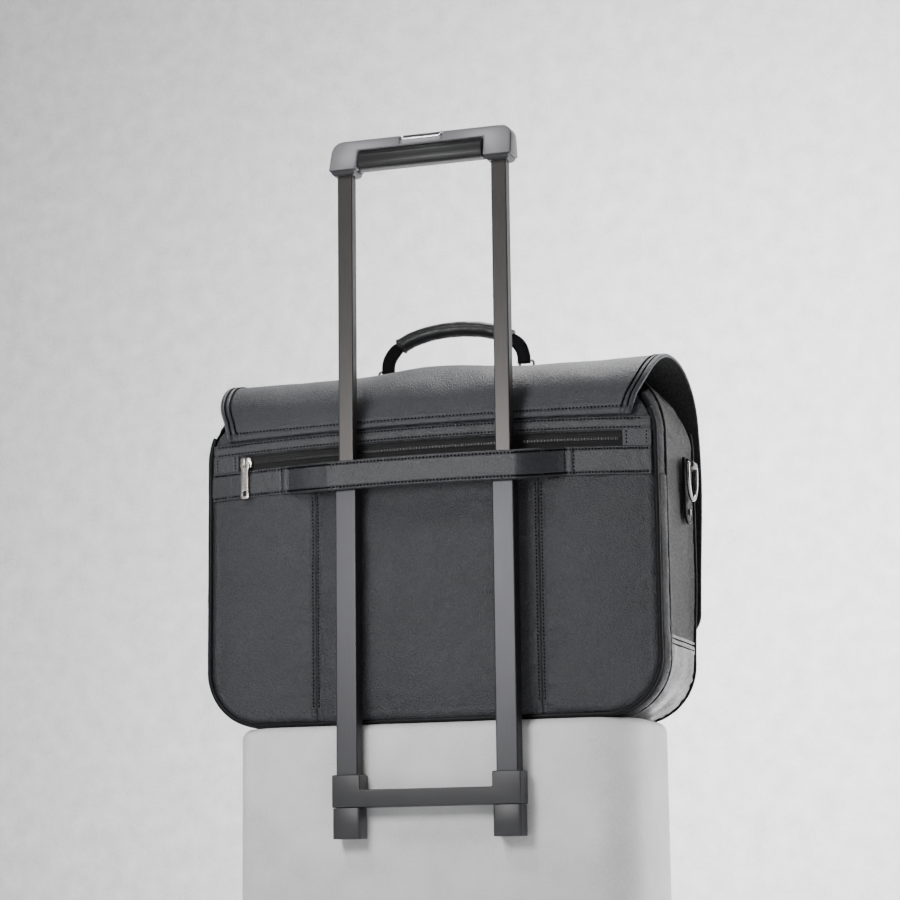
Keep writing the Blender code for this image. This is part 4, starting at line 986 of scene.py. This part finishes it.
def gusset_strip(name, path, near, far, look, seed, swell, slot, nodes, columns, drift=None, seams=(),
                 rise=(0, 0)):  # fmt: skip
    """Leather that follows the outline between two seams. near and far give its edges for a height."""
    v = np.linspace(0, 1, columns)[None]
    x, z, nx, nz = (path[:, k : k + 1] for k in range(4))
    y = near(z) + (far(z) - near(z)) * v
    length = travelled(path[:, 0], path[:, 1])[:, None]
    width = far(z) - near(z)
    edge = np.minimum(v, 1 - v) * width
    out = swell * (4 * v * (1 - v)) ** 0.7 * smooth(0, 30 * MM, width)
    out = out + 0.25 * MM * waves(seed, 9 * MM)(length, 0.35 * y) * hump(edge, 4 * MM, 6 * MM)
    out = out + 0.45 * MM * waves(seed + 1, 48 * MM)(length, y) * smooth(0, 12 * MM, edge)
    out = out - 0.8 * MM * np.exp(-((edge / (1.6 * MM)) ** 2))
    if seams:
        out = out + 0.9 * MM * smooth(50 * MM, 62 * MM, z)
    for at in seams:
        out = out - 0.6 * MM * hump(z, at, 0.9 * MM)
    raised = z + crown(z) * (rise[0] + (rise[1] - rise[0]) * v)
    outer = xyz(x + nx * out, y, raised + nz * out)
    inner = xyz(x - nx * 2.2 * MM, y, raised - nz * 2.2 * MM)
    if drift is not None:
        share = (z - z.min()) / (z.max() - z.min())
        outer[..., 0] += sampled(drift, *np.broadcast_arrays(v, share))
    placed(slab(name, outer, inner, look, 0.5), "case", slot, *nodes)


SEAM_ALLOWANCE = 2.3 * MM  # from a piping cord's middle to the leather beside it
WRAP_SEAMS = (WRAP_Z - 1.8 * MM, WRAP_Z - 6.4 * MM)


def rear_edge(z):
    return np.full(np.shape(z), -57.4 * MM)


def laptop_edge(z):
    return np.full(np.shape(z), MID_Y - SEAM_ALLOWANCE)


def main_edge(z):
    return np.full(np.shape(z), MID_Y + SEAM_ALLOWANCE)


def front_edge(z):
    return front_y(z) - SEAM_ALLOWANCE


def sloped_edge(z):
    """The front edge of a main gusset, which curves back to the middle piping at its top."""
    fall = np.clip((GUSSET_TOP_Z - z) / (GUSSET_TOP_Z - GUSSET_SHOULDER_Z), 0, 1)
    return main_edge(z) + (front_edge(z) - main_edge(z)) * np.maximum(0.08, fall**0.42)


def gusset_drift():
    """How far a main gusset's leather sinks or swells, on a coarse grid."""
    z = np.linspace(WRAP_Z, GUSSET_TOP_Z, 56)[:, None]
    v = np.linspace(0, 1, 26)[None]
    y = main_edge(z) + (front_edge(z) - main_edge(z)) * v
    held = (v < 0.02) | (v > 0.98) | (z < WRAP_Z + 3 * MM)
    moved = settle(xyz(width_at(z, 0), y, z), held, (-1.6, 0, -2.4), 0.006)
    return np.clip(moved[..., 0], -3.5 * MM, 2.0 * MM)


def side_outline(side, *sizes):
    """The outline of one side, always in the direction that turns its leather outwards."""
    path = outline(*sizes) * [side, 1, side, 1]
    return path[::side]


def gussets():
    laptop = whole_outline(0.0, BINDING_Z + 2 * MM, 2.6 * MM)
    gusset_strip("laptop_gusset_leather", laptop, rear_edge, laptop_edge, GUSSET_BAND, 51, 2.6 * MM,
                 "smooth_leather", ["laptop_section_gusset"], 26)  # fmt: skip
    base = whole_outline(0.0, WRAP_Z + 1.5 * MM, 1.0 * MM)
    gusset_strip("base_wrap_leather", base, main_edge, front_edge, SMOOTH, 52, 0.3 * MM,
                 "smooth_leather", ["base_wrap"], 34, seams=WRAP_SEAMS)  # fmt: skip
    drift = gusset_drift()
    runs = []
    for side, name, seed in ((1, "right", 53), (-1, "left", 57)):
        path = side_outline(side, 0.4 * MM, BINDING_Z, 276 * MM, 2.2 * MM)
        gusset_strip(f"binding_{name}_leather", path, rear_edge, laptop_edge, DARK_TRIM, 54, 1.2 * MM,
                     "trim_leather", [], 26, rise=(0, 1))  # fmt: skip
        path = side_outline(side, 0.0, WRAP_Z - 2.0 * MM, GUSSET_TOP_Z, 2.4 * MM)
        gusset_strip(f"gusset_{name}_leather", path, main_edge, sloped_edge, SIDE_LEATHER_PAINTED_LIGHT, seed, 0.6 * MM,
                     "grained_leather", [f"gusset_{name}"], 44, side * drift, rise=(1, 1))  # fmt: skip
        y = np.linspace(MID_Y + SEAM_ALLOWANCE + 2 * MM, FRONT_Y - 4 * MM, 60)
        for z in WRAP_SEAMS:
            runs.append(facing(side * (HALF_W + 0.55 * MM), y, z, (side, 0, 0)))
    sewn("gusset_stitches", runs)


# ---------------------------------------------------------------- the front
def front_panel():
    low, high = PANEL_INSET + 0.2 * MM, FRONT_TOP_Z
    t = np.linspace(0, 1, 90)[:, None]
    z = low + (high - low) * (0.8 * t + 0.2 * t**2)
    x = width_at(z, PANEL_INSET) * np.linspace(1, -1, 150)[None]
    y = front_y(z)
    rim = hump(edge_distance(x, z, PANEL_INSET), 0, 2.2 * MM)
    outer = xyz(x, y + 1.0 * MM - 1.0 * MM * rim - 0.25 * MM * (1 + waves(61, 40 * MM)(x, z)), z)
    panel = slab("front_panel_leather", outer, xyz(x, y - 1.5 * MM, z), [GRAINED, LINING_AND_SHADE])
    placed(panel, "case", "grained_leather", "front_panel")


def front_pouch():
    low, high = POUCH_Z
    corner = 30 * MM
    z = np.linspace(low, high, 84)[:, None]
    down = corner - np.minimum(corner, z - low)
    reach = POUCH_HALF_W - corner + np.sqrt(np.maximum(0, corner**2 - down**2))
    u = np.sin(np.linspace(math.pi / 2, -math.pi / 2, 130))[None]
    x = reach * u
    rise = (z - low) / (high - low)
    full = np.sqrt(np.maximum(0, 1 - np.abs(u) ** 5)) * np.sqrt(np.clip(rise / 0.35, 0, 1))
    full = full * (1 - 0.25 * rise)
    face = front_y(z) + 3.7 * MM + POUCH_DEPTH * full
    sag = 0.8 * MM * waves(62, 42 * MM)(x, z) * full + 0.2 * MM * waves(63, 9 * MM)(x, z) * (1 - 0.7 * full)
    hem = high - z
    sag = sag + 0.5 * MM * hump(hem, 2.4 * MM, 2.2 * MM) - 0.4 * MM * hump(hem, 6.5 * MM, 0.9 * MM)
    outer = xyz(x, face + np.minimum(sag, 1.0 * MM), z)
    pouch = slab("front_pouch_leather", outer, xyz(x, face - 2 * MM, z), [GRAINED, LINING_AND_SHADE])
    placed(pouch, "case", "grained_leather", "front_pocket")
    runs = []
    for line in (outer[1:-1:2, 3], outer[1:-1:2, -4], outer[-4, 2:-2]):
        x, y, z = line.T
        runs.append(facing(x, y + 0.1 * MM, z, (0, 1, 0)))
    sewn("pouch_stitches", runs)
    for side in ("left", "right"):
        smooth_copy(f"snap_socket_{side}", "case", "nickel", NICKEL, 0.4 * MM, 2)
        smooth_copy(f"snap_stud_{side}", "flap_drop", "nickel", NICKEL, 0.4 * MM, 2)


# ---------------------------------------------------------------- the flap
FOLD_START = (0, 0.046, 0.3115)  # the flap bends between these two places
FOLD_END = (0, 0.080, 0.2775)


def flap_spline():
    """The flap's profile as smooth columns: distance along it, y, z and half width."""
    knots = np.array([(y * MM, z * MM, w * MM) for (y, z), w in zip(FLAP_YZ, FLAP_HALF_W)])
    line = curved(knots, 0.5 * MM)
    return travelled(line[:, 0], line[:, 1]), line


FLAP_LENGTHS, FLAP_LINE = flap_spline()
FLAP_LONG = FLAP_LENGTHS[-1]


def flap_profile(along, column):
    """The flap's y (0), z (1) or half width (2) at a distance from its rear seam."""
    return np.interp(along, FLAP_LENGTHS, FLAP_LINE[:, column])


def flap_half(along):
    """Half the flap's width, less what its two lower corners round off."""
    into = np.maximum(0, FLAP_CORNER - (FLAP_LONG - along))
    return flap_profile(along, 2) - (FLAP_CORNER - np.sqrt(np.maximum(0, FLAP_CORNER**2 - into**2)))


def hem_relief(edge):
    """The folded and twice stitched edge of the flap, as height above its face."""
    e = edge / MM
    ridges = 1.0 * hump(e, 1.6, 1.5) + 0.7 * hump(e, 5.8, 1.6)
    grooves = 0.55 * hump(e, 3.7, 0.7) + 0.55 * hump(e, 8.7, 0.8)
    return (ridges - grooves) * MM


def flap_point(along, share, lift):
    """A point on the flap: along from the rear seam, share of the half width, lift from the inner face."""
    y, z = flap_profile(along, 0), flap_profile(along, 1)
    ahead, behind = (np.clip(along + step, 0, FLAP_LONG) for step in (1.5 * MM, -1.5 * MM))
    dy, dz = (flap_profile(ahead, k) - flap_profile(behind, k) for k in (0, 1))
    size = np.hypot(dy, dz)
    x = share * flap_half(along)
    ridge = np.exp(-(((y - 12 * MM) / (48 * MM)) ** 4)) * (z > 255 * MM)
    raised = FLAP_BUMP * hump(x, FLAP_BUMP_X, 47 * MM) * ridge
    dip = arch(x) * np.maximum(0, 1 - along / (12.7 * MM))
    fallen = FLAP_CROWN * share**4 * smooth(0, 1, (230 * MM - z) / (120 * MM))
    return xyz(x, y - dz / size * lift - fallen, z + dy / size * lift + raised + dip)


def flap_edge(along, share):
    """Distance to the flap's nearest free edge."""
    return np.minimum((1 - np.abs(share)) * flap_half(along), FLAP_LONG - along)


def flap():
    hem = 13 * MM
    # rows and columns stand closer together in the hem
    fine = np.linspace(0, hem, 28, endpoint=False)
    s = np.concatenate([fine, np.linspace(hem, FLAP_LONG - hem, 150), FLAP_LONG - fine[::-1]])[:, None]
    edge_part = np.linspace(0, 0.062, 27, endpoint=False)
    share = np.concatenate([-1 + edge_part, np.linspace(-0.938, 0.938, 130), 1 - edge_part[::-1]])[None]
    edge = flap_edge(s, share)
    x = share * flap_profile(s, 2)
    lift = FLAP_T + hem_relief(edge)
    for at, height, wide in ((2.0, 0.7, 2.0), (7.0, 0.4, 2.0), (4.6, -0.5, 0.7)):
        lift = lift + height * MM * hump(s / MM, at, wide)
    inside = smooth(8 * MM, 40 * MM, np.minimum(edge, s))
    lift = lift + 0.40 * MM * waves(71, 95 * MM)(x, s) * inside
    lift = lift + 0.10 * MM * waves(72, 26 * MM)(x, s) * inside
    lift = lift + 0.15 * MM * waves(73, 9 * MM)(x, s) * hump(edge, 12 * MM, 5 * MM)
    lift = lift + 0.16 * MM * waves(76, 9 * MM)(x, s) * hump(s, 9 * MM, 6 * MM)
    for side in (-1, 1):
        around = np.hypot(x - side * HANDLE_HALF_SPAN, (s - 125 * MM) * 0.8)
        lift = lift + 0.3 * MM * hump(around, 26 * MM, 9 * MM) - 0.3 * MM * hump(around, 12 * MM, 8 * MM)
    outer = flap_point(s, share, lift)
    inner = flap_point(s, share, 0.25 * MM * waves(74, 50 * MM)(x, s) * inside)
    sheet = slab("flap_leather", outer, inner, [ROOF, FLAP_BACK], 0.9)
    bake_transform(sheet, "flap_lid", "flap_drop", FOLD_START, FOLD_END)
    placed(sheet, None, "grained_leather", "flap_top", "flap_front")
    runs = []
    down = np.linspace(5 * MM, FLAP_LONG - 24 * MM, 190)
    across = np.linspace(-0.86, 0.86, 200)
    height = FLAP_T + 0.15 * MM
    for inset in (3.7 * MM, 8.7 * MM):
        for side in (-1, 1):
            runs.append(standing(flap_point, down, side * (1 - inset / flap_profile(down, 2)), height))
        runs.append(standing(flap_point, FLAP_LONG - inset, across, height))
    runs.append(standing(flap_point, 4.6 * MM, np.linspace(-0.955, 0.955, 220), height))
    thread = stitches("flap_stitches", runs, STITCH, 1.9 * MM, 0.62 * MM, 5)
    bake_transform(thread, "flap_lid", "flap_drop", FOLD_START, FOLD_END)
    placed(thread, None, "zip_tape")


# ---------------------------------------------------------------- the carry handle
def handle_arc(count=60):
    t = np.linspace(math.pi, 0, count)
    x = HANDLE_HALF_SPAN * np.cos(t)
    z = HANDLE_PIVOT_Z + (HANDLE_APEX_Z - HANDLE_PIVOT_Z) * np.sin(t) ** 0.82
    return xyz(x, HANDLE_Y, z)


def carry_handle():
    pace = 1.6 * MM
    foot = [0, 0, 2.5 * MM]
    line = resample(handle_arc(), pace)
    line = np.concatenate([line[:1] - foot, line, line[-1:] - foot])
    span = np.abs(line[:, 0])
    n = len(line)
    t = np.arange(24) * 2 * math.pi / 24
    c, s = np.cos(t), np.sin(t)
    power = 2 / 3.4  # makes the section a rectangle with full, round corners
    box_a, box_b = np.sign(c) * np.abs(c) ** power, np.sign(s) * np.abs(s) ** power
    broad = (4.6 + 1.5 * smooth(50, 60, span / MM)) * MM
    thin = 3.3 * MM
    rough = waves(81, 14 * MM)(np.arange(n)[:, None] * pace, t * 6 * MM)
    ring = np.stack([broad[:, None] * box_b * (1 + 0.02 * rough), thin * box_a * (1 + 0.04 * rough)], -1)
    strap = sweep("carry_handle_leather", line, ring, DARK_TRIM, up=(0, 1, 0))
    placed(strap, "carry_handle", "grained_leather", "handle_strap")

    core = line[span < 55 * MM]
    n = len(core)
    share = np.linspace(-1, 1, n)
    lip = 1 + 0.14 * hump(np.abs(share), 0.975, 0.03) - 0.25 * smooth(0.988, 1.0, np.abs(share))
    crease = waves(82, 10 * MM)(np.arange(n)[:, None] * pace, t * 7 * MM)
    size = lip[:, None] * (1 + 0.018 * crease)
    seam = 0.6 * MM * hump(((t + math.pi) % (2 * math.pi)) - math.pi + math.pi / 2, 0, 0.22)
    section = np.stack([6.9 * MM * s * size - seam, 8.4 * MM * c * size], -1)
    sleeve = sweep("carry_handle_sleeve", core, section, DARK_SMOOTH, up=(0, 1, 0))
    placed(sleeve, "carry_handle", "trim_leather", "handle_sleeve")
    for side in ("left", "right"):
        low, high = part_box(f"handle_ring_{side}")
        x, z = (low.x + high.x) / 2, (low.z + high.z) / 2
        loop = rounded(6.6 * MM, (high.z - low.z) / 2 - 1.1 * MM, 2.2 * MM, 5)
        path = resample([(x + a, HANDLE_Y, z + b) for a, b in loop], 1.2 * MM, True)
        wire = sweep(f"handle_ring_{side}_wire", path, circle(1.15 * MM), GUNMETAL, True, (0, 1, 0))
        placed(wire, "flap_lid", "nickel", f"handle_ring_{side}")
        smooth_copy(f"handle_tab_{side}", "flap_lid", "trim_leather", TRIM, 0.45 * MM, 3, 50)


# ---------------------------------------------------------------- shoulder-strap rings
def shoulder_rings():
    runs = []
    for side, name in ((-1, "left"), (1, "right")):
        wide, shoulder = RING_HALF_W, RING_PIVOT_Z - 0.6 * MM
        path = [(-wide + 2 * MM, RING_PIVOT_Z), (0, RING_PIVOT_Z), (wide - 2 * MM, RING_PIVOT_Z)]
        path.append((wide - 0.5 * MM, shoulder))
        for a in np.radians(np.linspace(0, -180, 19)):
            path.append((wide * math.cos(a), RING_PIVOT_Z - 9 * MM + (RING_DROP - 9 * MM) * math.sin(a)))
        path.append((-wide + 0.5 * MM, shoulder))
        line = resample([(side * RING_PIVOT_X, RING_Y + y, z) for y, z in path], 1.2 * MM, True)
        wire = circle(RING_WIRE, 14)
        ring = sweep(f"shoulder_ring_{name}_wire", line, wire, RING_METAL, True, (1, 0, 0))
        placed(ring, f"ring_{name}", "nickel", f"shoulder_ring_{name}")
        smooth_copy(f"ring_tab_{name}", "case", "trim_leather", GUSSET_BAND, 0.8 * MM, 3, 50)
        smooth_copy(f"ring_keeper_{name}", "case", "nickel", GUNMETAL, 0.3 * MM, 2)
        smooth_copy(f"ring_rivet_{name}", "case", "nickel", GUNMETAL, 0.4 * MM, 3)
        a = np.radians(np.linspace(180, 360, 30))
        half = 10.6 * MM
        y = np.concatenate([[-half] * 8, half * np.cos(a), [half] * 8])
        down = np.linspace(216, 187, 8) * MM
        z = np.concatenate([down, 186 * MM + half * np.sin(a), down[::-1]])
        runs.append(facing(side * (HALF_W + 2.7 * MM), RING_Y + y, z, (side, 0, 0)))
    sewn("ring_tab_stitches", runs, 2.6 * MM, 1.9 * MM, 0.3 * MM)


# ---------------------------------------------------------------- the luggage's pull handle
def square_tube(node_name, body, front_look):
    """A square tube with an open bore. The points beside its tight corners keep its faces flat."""
    low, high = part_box(node_name)
    middle = (low + high) / 2
    half = (high - low) / 2
    wall, corner, flank = 1.2 * MM, 1.3 * MM, 0.25 * MM

    def ring(thin, radius, z):
        arcs = rounded(half.x - thin, half.y - thin, radius, 6).reshape(4, 7, 2)
        points = []
        for arc, ahead in zip(arcs, ((0, 1), (-1, 0), (0, -1), (1, 0))):
            step = np.array(ahead) * flank
            after = np.array((-ahead[1], ahead[0])) * flank
            points += [arc[0] - step, *arc, arc[-1] + after]
        return [(middle.x + x, middle.y + y, z) for x, y in points]

    points = ring(0, corner, low.z) + ring(0, corner, high.z)
    points += ring(wall, 0.5 * MM, high.z) + ring(wall, 0.5 * MM, low.z)
    around = len(points) // 4
    faces = [[k % len(points) for k in face] for face in ring_faces(5, around)]
    # the faces on the tube's left and right sides get the second, near-black material: painted shade
    across = [abs((points[face[0]][0] + points[face[1]][0]) / 2 - middle.x) for face in faces]
    shades = [int(x > half.x - 0.8 * MM) for x in across]
    tube = mesh_object(node_name + "_piece", points, faces, [front_look, SHADED_TUBE_SIDE], shades, 50)
    placed(tube, body, "tube_metal", node_name)


def grip_window(low, high):
    """The lip under the push button and the chrome wire round its slot, on the grip's leaning face."""
    near = low.y
    middle = (low.x + high.x) / 2

    def face(z):
        return near + GRIP_LEAN * (z - low.z) / (high.z - low.z)

    half, bottom, slot, top = 20.2 * MM, high.z - 8.6 * MM, high.z - 4.0 * MM, high.z - 0.3 * MM
    x = np.linspace(-half, half, 12)[None] + middle
    z = np.linspace(bottom, slot, 6)[:, None]
    front = xyz(x, face(z) + 0.15 * MM, z)
    lip = slab("grip_window_lip", front, front + [0, 1.4 * MM, 0], GRIP, 0.4)
    placed(lip, "handle_stage", "grip_plastic")
    wide, lift = 19.0 * MM, 0.1 * MM
    back = near + 18.4 * MM
    right = [(wide - 2 * MM, face(slot) - lift, slot), (wide, face(top), top), (wide, back, high.z)]
    left = [(-x, y, z) for x, y, z in reversed(right)]
    path = resample([(middle + x, y, z) for x, y, z in left[-1:] + right + left[:-1]], 0.8 * MM, True)
    rim = sweep("button_rim_wire", path, circle(0.65 * MM, 10), CHROME, True, (0, 1, 0.3))
    placed(rim, "handle_stage", "chrome", "button_rim")


def pull_handle():
    for name in ("left", "right"):
        square_tube(f"lower_tube_{name}", "trolley_frame", OUTER_TUBE)
        square_tube(f"upper_tube_{name}", "handle_stage", TUBE)
        smooth_copy(f"stage_cap_{name}", "trolley_frame", "collar_plastic", COLLAR, 0.3 * MM, 2)
        smooth_copy(f"guide_sleeve_{name}", "trolley_frame", "collar_plastic", COLLAR, 0.5 * MM, 2)
        smooth_copy(f"grip_foot_{name}", "handle_stage", "collar_plastic", COLLAR, 0.4 * MM, 2)
    smooth_copy("collar_bridge", "trolley_frame", "collar_plastic", COLLAR, 0.5 * MM, 3)
    shell = smooth_copy("grip_shell", "handle_stage", "grip_plastic", [GRIP, GRIP_CAP], 0.3 * MM, 2, 30)
    low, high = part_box("grip_shell")
    for face in shell.data.polygons:  # the ends and the underside are dark
        outer = max(face.center.x - high.x, low.x - face.center.x)
        end = outer > -4 * MM and abs(face.normal.x) > 0.55
        face.material_index = 1 if end or face.normal.z < -0.4 else 0
    smooth_copy("grip_bar", "handle_stage", "grip_rubber", RUBBER, 0.0, 2, 40)
    smooth_copy("release_button", "release", "grip_rubber", RUBBER, 0.3 * MM, 2)
    grip_window(low, high)


def hidden_parts():
    """CAD parts whose shape is right, with a better material."""
    for name, look in (("rear_board", BOARD), ("release_rods", STEEL)):
        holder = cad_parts[name]
        holder.data.materials.clear()
        holder.data.materials.append(look)
    divider = smooth_copy("laptop_divider", "case", "lining", LINING_AND_SHADE, 1.5 * MM, 3, 50)


studio()
back_panels()
yoke_and_welt()
trolley_strap()
zip_fastener()
piping()
gussets()
front_panel()
front_pouch()
flap()
carry_handle()
shoulder_rings()
pull_handle()
hidden_parts()
